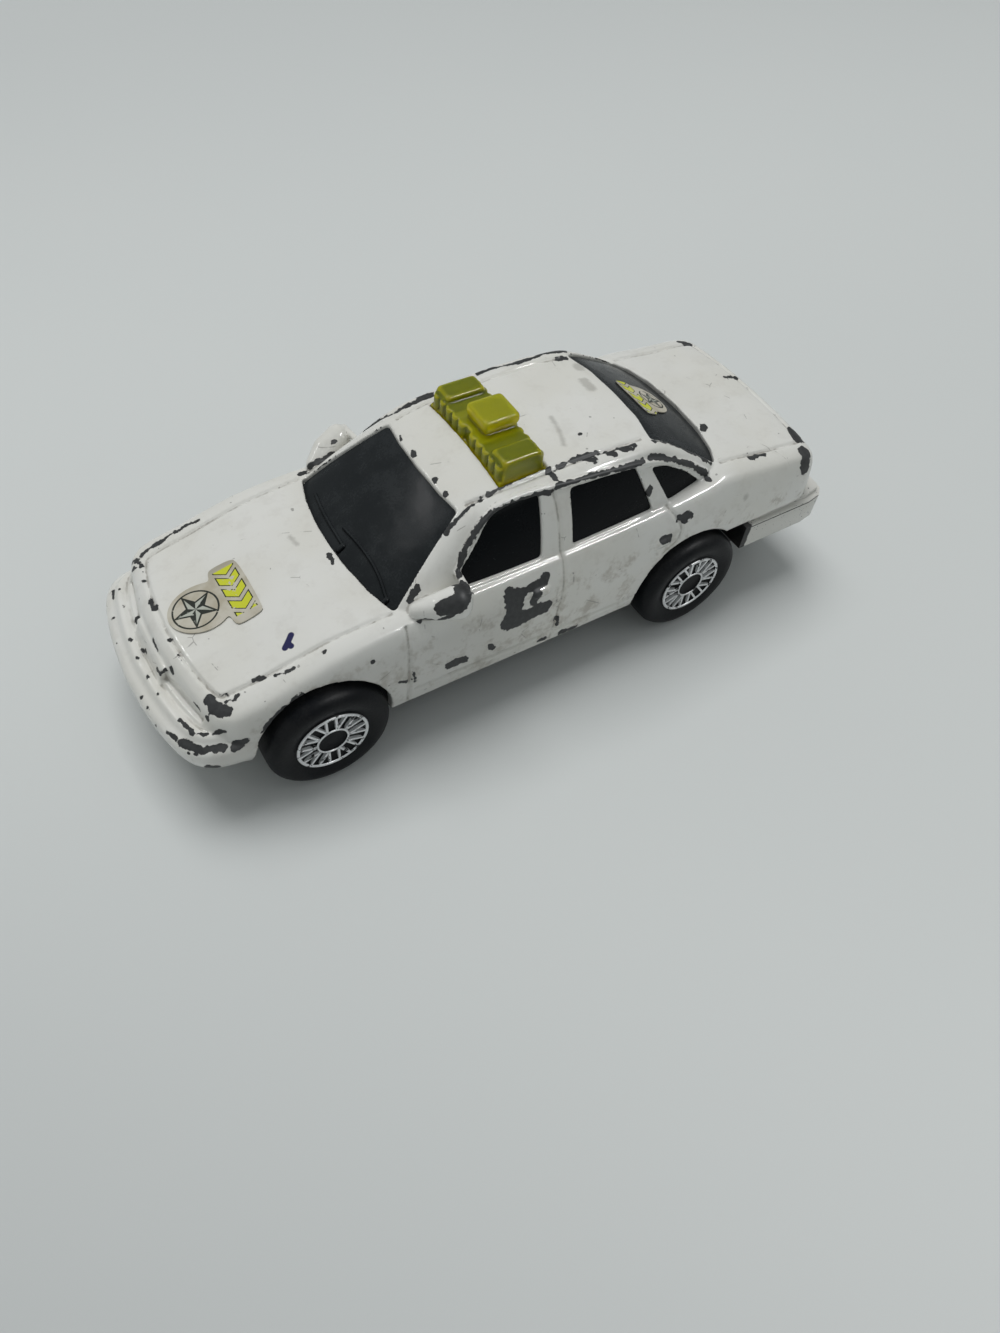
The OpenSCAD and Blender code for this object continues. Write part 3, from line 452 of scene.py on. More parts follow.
def tube(name, path, radius, sides=10):
    path = np.asarray(path, float)
    ahead = np.gradient(path, axis=0)
    ahead /= np.linalg.norm(ahead, axis=1)[:, None]
    side = np.cross(ahead, (0.31, 0.17, 0.93))
    side /= np.linalg.norm(side, axis=1)[:, None]
    up = np.cross(side, ahead)
    turn = np.linspace(0, 2 * np.pi, sides, endpoint=False)
    ring = np.cos(turn)[None, :, None] * side[:, None] + np.sin(turn)[None, :, None] * up[:, None]
    return loft(name, path[:, None] + radius * ring)


def ball(centre, radii):
    a, b = np.meshgrid(np.linspace(0, np.pi, 13), np.linspace(0, 2 * np.pi, 24, endpoint=False))
    unit = np.stack([np.sin(a) * np.cos(b), np.sin(a) * np.sin(b), np.cos(a)], -1).reshape(-1, 3)
    return np.asarray(centre) + unit * np.broadcast_to(radii, 3)


def wrap(name, *clouds):
    bm = bmesh.new()
    for p in np.vstack(clouds) * mm:
        bm.verts.new(p)
    bmesh.ops.convex_hull(bm, input=bm.verts)
    bmesh.ops.delete(bm, geom=[v for v in bm.verts if not v.link_faces], context="VERTS")
    mesh = bpy.data.meshes.new(name)
    bm.to_mesh(mesh)
    bm.free()
    obj = bpy.data.objects.new(name, mesh)
    bpy.context.scene.collection.objects.link(obj)
    return outward(obj)


def dense(points, gap=0.3):
    p = np.asarray(points, float)
    along = np.concatenate([[0], np.cumsum(np.linalg.norm(np.diff(p, axis=0), axis=1))])
    at = np.linspace(0, along[-1], max(2, int(along[-1] / gap)))
    return np.stack([np.interp(at, along, p[:, k]) for k in range(p.shape[1])], 1)


def feel(obj):
    return BVHTree.FromObject(obj, bpy.context.evaluated_depsgraph_get())


def on_skin(skin, points, way):
    hits = [skin.ray_cast(Vector(p) * mm, Vector(way))[0] for p in np.asarray(points, float)]
    return np.array([h for h in hits if h is not None]) * per_metre


def twin(obj, name, lift=0.0):
    made = bpy.data.objects.new(name, obj.data.copy())
    bpy.context.scene.collection.objects.link(made)
    made.data.transform(Matrix.Translation((0, 0, lift * mm)))
    return made


pane_inset, pane_gap, lining_inset, inside_inset, skirt = 0.27, 0.06, 1.16, 1.96, 4.0
wipers = ([(14.95, 8.1), (14.5, 5.5), (14.55, 2.5), (14.85, -0.6)],
          [(15.65, 0.9), (15.5, -3.3), (14.95, -6.6)])
blade_radius, blade_lift, pivot_radius, pivot_length = 0.17, 0.06, 0.3, 0.45
overhead = 30

glass = cabin("windows", pane_inset, 6)
pane_skin = twin(glass, "pane_skin")
skin = feel(glass)
panes = openings(pane_gap)
carve(panes[0], panes[1:], "UNION")
carve(glass, panes[:1], "INTERSECT")
carve(glass, [cabin("lining", lining_inset)], "UNION")
for plan in wipers:
    blade = on_skin(skin, [(x, y, overhead) for x, y in dense(rounded(plan, 2))], (0, 0, -1))
    x, y = plan[0]
    pivot = on_skin(skin, [(x, y, overhead), (x + pivot_length, y, overhead)], (0, 0, -1))
    carve(glass, [tube("blade", blade + (0, 0, blade_lift), blade_radius)], "UNION")
    carve(glass, [wrap("pivot", *[ball(p, pivot_radius) for p in pivot])], "UNION")
carve(glass, [cabin("inside", inside_inset, 0, skirt)], "DIFFERENCE")
smooth(glass, 0.6)

black_glass, tree = finish("black_glass")
at = millimetres(tree)
dust, rub = wear(tree, at, 1.0)
specks = step(tree, grain(tree, at, 2.6, 1.0), 0.76, 0.79)
up = split(tree, put(tree, "ShaderNodeNewGeometry", out=1))[2]
# painted sheen: panes that face upward are tinted a lighter bluish grey, a little more where dust lies
painted_light_film = calc(tree, "MULTIPLY", step(tree, up, 0.5, 0.75), calc(tree, "MULTIPLY_ADD", dust, 0.12, 0.22))
# the painted sheen and the dust specks together lighten the black
dust_and_painted_sheen = calc(tree, "MAXIMUM", painted_light_film, calc(tree, "MULTIPLY", specks, 0.25))
dull = calc(tree, "MULTIPLY_ADD", rub, 0.08, calc(tree, "MULTIPLY_ADD", dust, 0.12, 0.2))
surface(tree, grain(tree, at, 0.5, 1.0), 0.03, Roughness=dull, Specular_IOR_Level=0.08,
        Base_Color=tint(tree, dust_and_painted_sheen, (0.0035, 0.0045, 0.0055, 1), (0.07, 0.078, 0.082, 1)))
seat(glass, "car", "black_glass", "window_moulding", black_glass)


# Light bar: one moulding of clear yellow-green plastic pushed up through the roof slot, with lens ribs along
# both sides, a block at each end and a flared lamp in the middle. Handling has frosted its top faces.
# Its foot, the lamp's sides and its outer edges are painted brighter as a glow, and its hollows painted
# darker as shade.
def box(low, high):
    return np.array(np.meshgrid(*zip(low, high), indexing="ij"), float).reshape(3, -1).T


def places(mesh):
    points = np.empty(3 * len(mesh.vertices))
    mesh.vertices.foreach_get("co", points)
    return points.reshape(-1, 3) * per_metre


def thick(obj, voxel, passes, triangles, keep=None):
    skin = obj.modifiers.new("skin", "REMESH")
    skin.mode, skin.voxel_size = "VOXEL", voxel * mm
    flow = obj.modifiers.new("flow", "SMOOTH")
    flow.factor, flow.iterations = 0.5, passes
    apply(obj)
    thin = obj.modifiers.new("thin", "DECIMATE")
    thin.ratio = min(1.0, triangles / (2 * len(obj.data.polygons)))
    if keep:
        kept = np.where(keep(places(obj.data)))[0].tolist()
        obj.vertex_groups.new(name="keep").add(kept, 1.0, "REPLACE")
        thin.vertex_group, thin.invert_vertex_group = "keep", True
    apply(obj)
    obj.vertex_groups.clear()
    smooth(obj)


# how sharply the surface turns at each vertex, over zero where it bulges and under it in hollows
def bending(mesh, passes):
    points, n = places(mesh), len(mesh.vertices)
    ends = np.empty(2 * len(mesh.edges), np.int32)
    mesh.edges.foreach_get("vertices", ends)
    a, b = ends.reshape(-1, 2).T
    normal = np.empty(3 * n)
    mesh.vertex_normals.foreach_get("vector", normal)
    normal = normal.reshape(-1, 3)
    span = points[b] - points[a]
    square = (span ** 2).sum(1) + 1e-6
    count = np.bincount(a, minlength=n) + np.bincount(b, minlength=n)
    value = np.bincount(a, -2 * (normal[a] * span).sum(1) / square, n)
    value += np.bincount(b, 2 * (normal[b] * span).sum(1) / square, n)
    value /= count
    for _ in range(passes):
        value = 0.5 * value + 0.5 * (np.bincount(a, value[b], n) + np.bincount(b, value[a], n)) / count
    return value


def note(mesh, name, values):
    mesh.attributes.new(name, "FLOAT", "POINT").data.foreach_set("value", values.astype(np.float32))


# a row of round lens ribs
fluting, knobs, given = repeater("fluting", {"Flutes": "Int", "Start": "Vector", "Gap": "Vector",
                                             "Radius": "Float", "Height": "Float", "Plastic": "Material"})
row = put(fluting, "GeometryNodeMeshLine",
          {"Count": given["Flutes"], "Start Location": given["Start"], "Offset": given["Gap"]})
flute = put(fluting, "GeometryNodeMeshCylinder",
            {"Vertices": 20, "Radius": given["Radius"], "Depth": given["Height"]})
row = put(fluting, "GeometryNodeInstanceOnPoints", {"Points": row, "Instance": flute})
set_down(fluting, row, given["Plastic"])

flute_count, flute_radius, flute_height, flute_middle = 5, 0.6, 2.0, 23.5
flute_rows, flute_first, flute_gap = (-1.65, 2.15), 1.0, 1.12
block_round, pod_round = 0.4, 0.42
bar_foot = box((-2.25, -6.3, 22.48), (2.75, 6.3, 23.05))
core_foot, core_top = box((-1.85, -4.5, 22.8), (2.35, 4.5, 23.1)), box((-1.75, -4.5, 24.3), (2.25, 4.5, 24.5))
pod_foot, pod_top = box((-1.4, -1.15, 23.8), (1.0, 1.15, 24.0)), box((-1.72, -1.4, 25.2), (1.3, 1.4, 25.58))

lamp_plastic, tree = finish("lamp_plastic")
parts = [wrap("foot", bar_foot), wrap("core", core_foot, core_top)]
for s in (1, -1):
    block_foot = box((-1.95, s * 3.75, 22.6), (2.45, s * 6.28, 23.0))
    block_top = box((-1.45, s * 4.2, 24.5), (1.95, s * 5.75, 24.68))
    parts.append(wrap("end", block_foot, *[ball(p, block_round) for p in block_top]))
    for x in flute_rows:
        parts.append(repeated(fluting, knobs, Flutes=flute_count, Gap=(0.0, s * flute_gap * mm, 0.0),
                              Start=(x * mm, s * flute_first * mm, flute_middle * mm),
                              Radius=flute_radius * mm, Height=flute_height * mm, Plastic=lamp_plastic))
parts.append(wrap("pod", pod_foot, *[ball(p, pod_round) for p in pod_top]))
bar = carve(parts[0], parts[1:], "UNION")
bar.name = "light_bar_lens"
thick(bar, 0.075, 40, 90000)
note(bar.data, "bend", bending(bar.data, 3))

at = millimetres(tree)
_, y, z = split(tree, at)
rub = wear(tree, at, 1.0)["Rub"]
up = split(tree, put(tree, "ShaderNodeNewGeometry", out=1))[2]
cloud = calc(tree, "MULTIPLY_ADD", grain(tree, at, 0.5, 2.0), 0.9, 0.1)
frost = calc(tree, "MULTIPLY", step(tree, up, 0.7, 0.97), cloud)
frost = calc(tree, "MAXIMUM", frost, calc(tree, "MULTIPLY", rub, step(tree, z, 25.4, 25.8)))
pod = calc(tree, "MULTIPLY", step(tree, z, 24.35, 24.6), step(tree, calc(tree, "ABSOLUTE", y), 2.6, 2.2))
# painted glow: the foot of the bar, low down by the slot, turns a bright orange-yellow as if lit through
clear = tint(tree, step(tree, z, 23.6, 22.8), (0.25, 0.29, 0.002, 1), (0.6, 0.5, 0.003, 1))
# painted glow: the lamp's sides are a bright orange-yellow, while its top stays greenish
pod_painted_glow = tint(tree, step(tree, up, 0.75, 0.3), (0.6, 0.61, 0.012, 1), (0.95, 0.82, 0.006, 1))
clear = tint(tree, pod, clear, pod_painted_glow)
bend = put(tree, "ShaderNodeAttribute", out=2, attribute_name="bend")
# painted glow: the outer edges are coloured a brighter yellow
clear = tint(tree, calc(tree, "MULTIPLY", step(tree, bend, 0.3, 1.6), 0.65), clear, (0.85, 0.78, 0.01, 1))
# painted shade: the hollows are darkened to a deep green
clear = tint(tree, calc(tree, "MULTIPLY", step(tree, bend, -0.3, -1.6), 0.6), clear, (0.09, 0.11, 0.001, 1))
surface(tree, calc(tree, "MULTIPLY_ADD", rub, 0.3, grain(tree, at, 0.8, 1.0)), 0.02,
        Base_Color=tint(tree, calc(tree, "MULTIPLY", frost, 0.35), clear, (0.5, 0.54, 0.012, 1)),
        Roughness=calc(tree, "MULTIPLY_ADD", frost, 0.1, 0.1), IOR=1.49, Transmission_Weight=0.6,
        Specular_IOR_Level=0.2, Subsurface_Weight=1.0, Subsurface_Radius=(1.0, 1.0, 0.12),
        Subsurface_Scale=0.0011)
seat(bar, "car", "lamp_plastic", "light_bar", lamp_plastic)


# Body: a single zinc casting sprayed with thick warm white enamel, so its edges are round and its panel
# lines soft. Years of play have chipped the paint off edges and corners down to dark metal. Its hollows carry
# grime with painted shade, and the front of each lower flank is painted greyer as shade.
def eased(keys, x):
    keys = np.asarray(sorted(map(tuple, keys)), float)
    gaps = np.diff(keys[:, 0])[:, None]
    slopes = np.diff(keys[:, 1:], axis=0) / gaps
    lean = np.zeros_like(keys[:, 1:])
    near, far = 2 * gaps[1:] + gaps[:-1], gaps[1:] + 2 * gaps[:-1]
    with np.errstate(divide="ignore", invalid="ignore"):
        mean = (near + far) / (near / slopes[:-1] + far / slopes[1:])
        lean[1:-1] = np.where(slopes[:-1] * slopes[1:] > 0, mean, 0)
    lean[0], lean[-1] = slopes[0], slopes[-1]
    x = np.clip(float(x), keys[0, 0], keys[-1, 0])
    i = int(np.clip(np.searchsorted(keys[:, 0], x) - 1, 0, len(gaps) - 1))
    t = (x - keys[i, 0]) / gaps[i, 0]
    return ((2 * t ** 3 - 3 * t ** 2 + 1) * keys[i, 1:] + (t ** 3 - 2 * t ** 2 + t) * gaps[i] * lean[i]
            + (3 * t ** 2 - 2 * t ** 3) * keys[i + 1, 1:] + (t ** 3 - t ** 2) * gaps[i] * lean[i + 1])


# place along the car, height of the top edge, crown, half widths of top panel and shoulder, drop, half width
stations = [
    (34.75, 10.1, 0.1, 8.2, 9.9, 0.25, 10.5), (34.45, 10.5, 0.15, 8.3, 10.1, 0.28, 10.65),
    (34.2, 11.0, 0.2, 8.4, 10.25, 0.3, 10.75), (33.95, 11.75, 0.3, 8.6, 10.55, 0.3, 11.0),
    (33.6, 12.3, 0.45, 9.0, 10.95, 0.35, 11.45), (32.7, 12.7, 0.65, 9.3, 11.5, 0.4, 12.0),
    (27.6, 13.72, 0.65, 9.45, 11.7, 0.5, 12.5), (24.7, 14.4, 0.65, 9.5, 11.74, 0.54, 12.57),
    (21.3, 15.24, 0.63, 9.58, 11.74, 0.54, 12.6), (18.4, 15.6, 0.56, 9.65, 11.7, 0.53, 12.6),
    (15.3, 15.8, 0.49, 9.7, 11.65, 0.5, 12.6), (10.6, 15.95, 0.46, 10.4, 11.35, 0.4, 12.6),
    (0.25, 16.2, 0.43, 10.4, 11.35, 0.45, 12.6), (-10.3, 16.55, 0.36, 10.4, 11.35, 0.49, 12.6),
    (-15.3, 17.05, 0.35, 9.9, 11.45, 0.7, 12.6), (-18.5, 17.65, 0.33, 9.5, 11.52, 0.8, 12.6),
    (-21.5, 18.4, 0.3, 9.05, 11.6, 0.95, 12.55), (-27.4, 17.7, 0.33, 9.27, 11.55, 0.85, 12.42),
    (-33.3, 17.0, 0.35, 9.5, 11.5, 0.75, 12.25), (-34.3, 16.6, 0.22, 9.0, 11.25, 0.63, 11.9),
    (-34.95, 15.7, 0.13, 8.6, 10.75, 0.55, 11.3), (-35.2, 14.8, 0.1, 8.4, 10.4, 0.5, 11.0)]
widest, waist = 9.3, 7.1
nose_sweep, tail_sweep = 1.4, 0.5


def section(x, inset, foot, passes):
    top, crown, edge, shoulder, drop, side = eased(stations, x)
    half = rounded([(0, top + crown - inset), (edge * 0.5, top + crown * 0.95 - inset),
                    (edge * 0.58, top + crown * 0.7 - inset), (edge * 0.92, top + crown * 0.15 - inset),
                    ((edge + shoulder) / 2, top - drop * 0.12 - inset),
                    (shoulder - inset * 0.6, top - drop - inset * 0.6),
                    (shoulder + (side - shoulder) * 0.75 - inset, (top - drop) * 0.62 + 3.28),
                    (side - inset, widest), (side - 0.05 - inset, waist), (side - 0.3 - inset, foot)], passes)
    y = np.concatenate([half[::-1, 0], -half[1:, 0]])
    z = np.concatenate([half[::-1, 1], half[1:, 1]])
    sweep = nose_sweep * np.clip((x - 25.2) / 8, 0, 1) - tail_sweep * np.clip((-30.3 - x) / 3, 0, 1)
    return np.stack([x - sweep * (y / 10) ** 2, y, z], 1)


# front bumper: its line round the nose as place, half width and the way it faces in degrees, and its section
nose_line = rounded([(37.2, 0, 0), (36.98, 4, 6), (36.51, 7, 14), (35.9, 9.5, 26), (35.0, 11.05, 46),
                     (33.7, 11.95, 66), (31.9, 12.4, 82), (29.7, 12.55, 87)], 3)
nose_line = np.vstack([nose_line[::-1], nose_line[1:] * (1, -1, -1)])
bumper_rib = rounded([(-4, 10.0), (-2.3, 9.95), (-1.8, 10.3), (-1.35, 10.25), (-1.0, 9.6), (-0.4, 9.35),
                      (-0.02, 8.85), (0, 7.8), (-0.3, 6.95), (-0.9, 6.4), (-4, 6.3)], 2)
bx, by, angle = nose_line[:, 0], nose_line[:, 1], np.radians(nose_line[:, 2])
bumper = [np.stack([bx + out * np.cos(angle), by + out * np.sin(angle), np.full(len(angle), z)], 1)
          for out, z in bumper_rib]

sill = 5.5
mirror_lobes = [((9.9, 11.98, 16.85), (1.3, 1.48, 1.75)), ((11.6, 11.55, 16.7), (1.15, 1.2, 1.25)),
                ((13.2, 10.6, 16.1), 0.8)]
handles, handle_out, handle_half, handle_radius = ((0.8, 13.5), (-13.6, 13.4)), 11.85, 0.55, 0.62
grille_half = 3.3
grille_side = [(33.2, 9.7), (34.85, 9.7), (34.8, 10.4), (34.45, 11.6), (34.2, 11.95), (33.0, 12.0)]
rail_radius, aside = 0.34, 30
rail = dense(rounded([(9.0, 17.85), (7.6, 19.75), (5.1, 21.95), (2.4, 22.55), (-1.65, 22.6), (-7.3, 22.5),
                      (-12.1, 22.05), (-17.3, 20.15), (-19.8, 18.15)], 2))

nose, tail = np.linspace(34.75, 32.7, 24), np.linspace(-33.3, -35.2, 20)
along = np.concatenate([nose, np.arange(32.4, -33.2, -0.3), tail])
body = loft("body", [section(x, 0, sill, 3) for x in along])
adds = [cabin("cabin", 0, 6), loft("bumper", np.stack(bumper, 1))]
for s in (1, -1):
    adds.append(wrap("mirror", *[ball((x, s * y, z), radii) for (x, y, z), radii in mirror_lobes]))
    for x, z in handles:
        ends = [(x - handle_half, s * handle_out, z), (x + handle_half, s * handle_out, z)]
        adds.append(wrap("handle", *[ball(p, handle_radius) for p in ends]))
adds.append(wrap("grille", np.array([(x, s * grille_half, z) for s in (-1, 1) for x, z in grille_side])))
carve(body, adds, "UNION")
skin = feel(body)
rails = [on_skin(skin, [(x, s * aside, z) for x, z in rail], (0, -s, 0)) for s in (1, -1)]
carve(body, [tube("rail", path, rail_radius) for path in rails], "UNION")
skin = feel(body)
plain = twin(body, "plain")

wall, cavity_foot, cavity_skirt, slot_gap = 1.1, 3.2, 3.5, 0.08
arches, arch_radius, arch_half = ((23.45, 6.2), (-18.05, 6.1)), 6.75, 6.63
filler, filler_radius = (-24.45, 13.0, 14.3), 0.95
lamp_plan, lamp_heights = ((34.1, 3.15), (32.9, 9.1), (36, 3.15), (36, 9.1)), (10.4, 11.7)
line_radius = 0.24
hood_line = [(15.1, 9.7), (23.2, 9.5), (31.0, 9.25), (31.5, 8.7), (32.2, 6), (32.6, 3), (32.7, 0)]
boot_line = [(-21.7, 9.2), (-27.4, 9.3), (-32.5, 9.5), (-33.1, 9.0), (-33.3, 5), (-33.4, 0)]
roof_line = [(6.4, 6.45), (3.4, 6.75), (-1.75, 6.9), (-9.3, 7.0), (-12.7, 6.85)]
front_door = [(14.7, 15.5), (14.9, 11.1), (15.0, 5.3)]
between_doors = [(-1.55, 22.6), (-1.95, 20.5), (-1.95, 12.3), (-1.25, 9.6), (-1.05, 5.3)]
rear_door = [(-14.4, 16.85), (-16.0, 14.7), (-15.8, 13.0), (-13.9, 11.9)]
sill_line = [(14.4, 7.45), (-11.3, 7.05)]

cuts = [loft("hollow", [section(x, wall, cavity_foot, 2) for x in np.linspace(33.1, -34.1, 60)])]
cuts.append(cabin("cabin_hollow", wall, 0, cavity_skirt))
cuts += openings(0)
low, high = bar_foot.min(0) - slot_gap, bar_foot.max(0) + slot_gap
cuts.append(wrap("slot", box((low[0], low[1], 20.5), (high[0], high[1], 26))))
for s in (1, -1):
    for cx, cz in arches:
        turn = np.linspace(-0.1, np.pi + 0.1, 64)
        arch = [(cx + arch_radius * np.cos(a), cz + arch_radius * np.sin(a)) for a in turn]
        arch = [(cx + arch_half, 3)] + arch + [(cx - arch_half, 3)]
        cuts.append(prism("arch", arch, "y", *sorted((s * 8.6, s * 15.6))))
    cuts.append(wrap("filler", ball((filler[0], s * filler[1], filler[2]), filler_radius)))
cuts.append(wrap("tail", box((-40, -15, 3), (-22.5, 15, 11.3))))
cuts.append(wrap("under", box((23.2, -15, 3), (40, 15, 6.35))))
for s in (1, -1):
    cuts.append(wrap("lamp", np.array([(x, s * y, z) for z in lamp_heights for x, y in lamp_plan])))
    cuts.append(wrap("tail_lamp", box((-37, s * 4.4, 12.3), (-34.75, s * 10.0, 14.7))))
for s in (1, -1):
    for line in (hood_line, boot_line, roof_line):
        way = dense(rounded([(x, s * y, 40) for x, y in line], 2))
        cuts.append(tube("line", on_skin(skin, way, (0, 0, -1)), line_radius, 8))
    for line in (front_door, between_doors, rear_door, sill_line):
        way = dense(rounded([(x, s * aside, z) for x, z in line], 2))
        cuts.append(tube("line", on_skin(skin, way, (0, -s, 0)), line_radius, 8))
carve(body, cuts, "DIFFERENCE")

# where the photographer stood, and the ways that are right, down and ahead in the photo
eye = Vector((0.041453, 0.060752, 0.083489))
right, down = Vector((-0.851, 0.5193, 0.0781)), Vector((0.3732, 0.7026, -0.6059))
ahead = Vector((-0.3695, -0.4865, -0.7917))
focal, photo_wide, photo_high = 1002.72, 1000, 1333

# marks read off the photo: a radius in mm, then strokes through pixels of the photo
chips = dict(
    mirror=(0.85, [(445, 609), (458, 606), (465, 596), (462, 586)]),
    mirror_foot=(0.3, [(439, 620), (454, 613)], [(419, 622), (432, 620)], [(417, 586), (410, 600)]),
    door_patch=(1.05, [(515, 598), (515, 608), (513, 620)]),
    door_patch_low=(0.85, [(508, 624), (520, 619), (536, 611), (545, 607)]),
    door_patch_high=(0.5, [(518, 595), (531, 588), (544, 582)], [(509, 592), (515, 599)],
                     [(546, 577), (542, 583)]),
    door_handle=(0.5, [(534, 602), (537, 595)]),
    door_foot=(0.5, [(449, 665), (465, 659)]),
    door_nicks=(0.28, [(556, 618), (557, 624)], [(489, 646), (493, 648)], [(540, 640), (546, 638)],
                [(561, 632), (575, 627)]),
    front_rail=(0.32, [(459, 575), (461, 562), (466, 547), (474, 534), (483, 521), (493, 512), (504, 507),
                       (516, 503), (531, 497), (550, 491)]),
    middle_rail=(0.31, [(548, 470), (552, 476), (554, 478)],
                 [(558, 487), (573, 482), (584, 478), (599, 474), (614, 470), (630, 466), (643, 461)]),
    rear_rail=(0.33, [(650, 458), (660, 458), (671, 459), (683, 462), (694, 467), (703, 473), (709, 480)]),
    roof_edge=(0.25, [(554, 470), (570, 461), (585, 456), (610, 450), (634, 445)], [(568, 462), (574, 461)],
               [(624, 449), (632, 449)], [(580, 434)]),
    roof_bites=(0.35, [(549, 469), (553, 476)], [(586, 459), (594, 460)], [(609, 453), (614, 454)]),
    pillars=(0.19, [(446, 534), (457, 519), (471, 506), (482, 498), (494, 491), (506, 484)],
             [(654, 441), (675, 445), (698, 455), (711, 464)]),
    far_rail=(0.29, [(478, 374), (493, 369), (512, 364), (535, 357), (546, 353)],
              [(552, 352), (565, 351), (580, 353)], [(396, 412), (417, 401), (432, 394)]),
    far_pillar=(0.28, [(301, 474), (314, 464), (333, 453)], [(335, 442), (356, 432), (379, 421), (390, 415)]),
    screen_edge=(0.2, [(400, 436), (401, 440)], [(412, 452), (414, 455)], [(434, 480), (435, 483)],
                 [(445, 493), (446, 495)], [(328, 555), (332, 560), (333, 562)]),
    boot=(0.35, [(559, 359), (565, 358)], [(679, 342), (690, 344)], [(725, 377), (736, 377)],
          [(703, 426), (704, 430)], [(751, 457), (763, 454)]),
    boot_corner=(0.75, [(794, 432), (797, 438)], [(804, 451), (806, 461), (805, 468)]),
    rear_door=(0.4, [(687, 513), (685, 521)], [(681, 518), (690, 516)], [(649, 490), (649, 493)],
               [(663, 540), (670, 538)]),
    wing_lip=(0.32, [(265, 729), (277, 714), (285, 708)], [(293, 701), (301, 697)]),
    wing=(0.17, [(345, 687), (362, 684)], [(373, 662)], [(400, 682), (412, 680)], [(414, 672), (415, 682)]),
    hood_edge=(0.18, [(253, 680), (263, 677)], [(275, 675), (285, 673), (295, 668)], [(324, 652)]),
    lamp_corner=(0.55, [(210, 700), (212, 708), (225, 711)]),
    lamp_nicks=(0.22, [(219, 695), (226, 695)], [(232, 701), (239, 696)], [(226, 702)]),
    bumper_corner=(0.4, [(182, 742), (192, 747), (202, 750), (219, 748), (224, 747)],
                   [(209, 767), (216, 767)], [(234, 747), (245, 741)]),
    bumper_ridge=(0.18, [(168, 733), (176, 739)],
                  [(181, 720), (187, 726), (194, 733), (202, 734), (207, 734)],
                  [(213, 734), (219, 732), (226, 732)], [(188, 753), (197, 755)]),
    bumper_nicks=(0.18, [(113, 591), (114, 599)], [(120, 589)], [(122, 607)], [(113, 619)], [(117, 643)],
                  [(130, 639)], [(138, 658)], [(147, 677)], [(158, 693)], [(141, 698)], [(147, 708)],
                  [(156, 726)]),
    grille=(0.19, [(137, 612), (135, 620), (136, 623)], [(143, 650), (146, 651)], [(154, 642), (158, 650)],
            [(157, 668), (160, 674), (165, 671)], [(171, 668), (173, 674)], [(194, 703), (199, 709)],
            [(207, 719)]),
    hood_lip=(0.25, [(145, 580)], [(150, 600), (154, 608)], [(170, 639)], [(180, 655)]),
    far_corner=(0.18, [(132, 563), (135, 560), (142, 566)], [(132, 571), (136, 568)], [(205, 524)],
                [(142, 555), (152, 546), (160, 541)],
                [(145, 552), (157, 545), (170, 535), (183, 527), (198, 520)]))
ink = dict(spot=(0.2, [(285, 648), (288, 642), (291, 635)], [(288, 644), (291, 646)]))
smudges = dict(
    roof=(0.5, [(584, 381), (591, 388)], [(578, 366), (580, 368)]),
    # the filler mark darkens the paint round the filler dimple
    filler=(0.35, [(746, 497)]),
    rubs=(0.17, [(551, 417), (559, 430), (564, 445)], [(290, 537), (297, 544)], [(348, 531), (352, 528)]))


def cast(marks):
    placed = []
    for radius, *strokes in marks.values():
        for stroke in strokes:
            ways = [ahead + ((u - photo_wide / 2) * right + (v - photo_high / 2) * down) / focal
                    for u, v in stroke]
            hits = [skin.ray_cast(eye, way)[0] for way in ways]
            placed.append((radius, np.array([h for h in hits if h is not None]) * per_metre))
    return [(radius, stroke) for radius, stroke in placed if len(stroke)]


# how far each point lies from the nearest mark, under zero inside one
def closeness(points, marks, furthest=3.0):
    best = np.full(len(points), furthest)
    for radius, stroke in marks:
        low, high = stroke.min(0) - furthest, stroke.max(0) + furthest
        near = np.where(np.all((points > low) & (points < high), axis=1))[0]
        for a, b in zip(stroke, np.vstack([stroke[1:], stroke[-1:]])):
            share = np.clip((points[near] - a) @ (b - a) / max(1e-6, (b - a) @ (b - a)), 0, 1)
            away = np.linalg.norm(points[near] - a - share[:, None] * (b - a), axis=1)
            best[near] = np.minimum(best[near], away - radius)
    return best


chips, ink, smudges = cast(chips), cast(ink), cast(smudges)
thick(body, 0.11, 8, 185000, lambda points: abs(closeness(points, chips + ink + smudges)) < 0.4)
points = places(body.data)
note(body.data, "wear", closeness(points, chips))
note(body.data, "ink", closeness(points, ink))
note(body.data, "smudge", closeness(points, smudges))
note(body.data, "bend", bending(body.data, 3))

# paint knocked off: inside the marked chips, and here and there along sharp edges
chipped, given, wanted = shared("chipped", {"Place": "Vector", "Bend": "Float", "Field": "Float"},
                                {"Bare": "Float"})
broad, fine = grain(chipped, given["Place"], 0.4, 2.0), grain(chipped, given["Place"], 2.4, 4.0)
lobes = calc(chipped, "SUBTRACT", grain(chipped, given["Place"], 1.1, 1.0), 0.5)
ragged = calc(chipped, "MULTIPLY_ADD", lobes, 0.7, given["Field"])
ragged = calc(chipped, "MULTIPLY_ADD", calc(chipped, "SUBTRACT", fine, 0.5), 0.55, ragged)
sharp = calc(chipped, "MINIMUM", given["Bend"], 4.0)
edge = calc(chipped, "MULTIPLY_ADD", sharp, 0.16, calc(chipped, "MULTIPLY", broad, 1.2))
edge = calc(chipped, "MULTIPLY_ADD", fine, 0.9, edge)
bare = calc(chipped, "MAXIMUM", step(chipped, ragged, 0.03, -0.03), step(chipped, edge, 1.62, 1.66))
chipped.links.new(bare, wanted["Bare"])

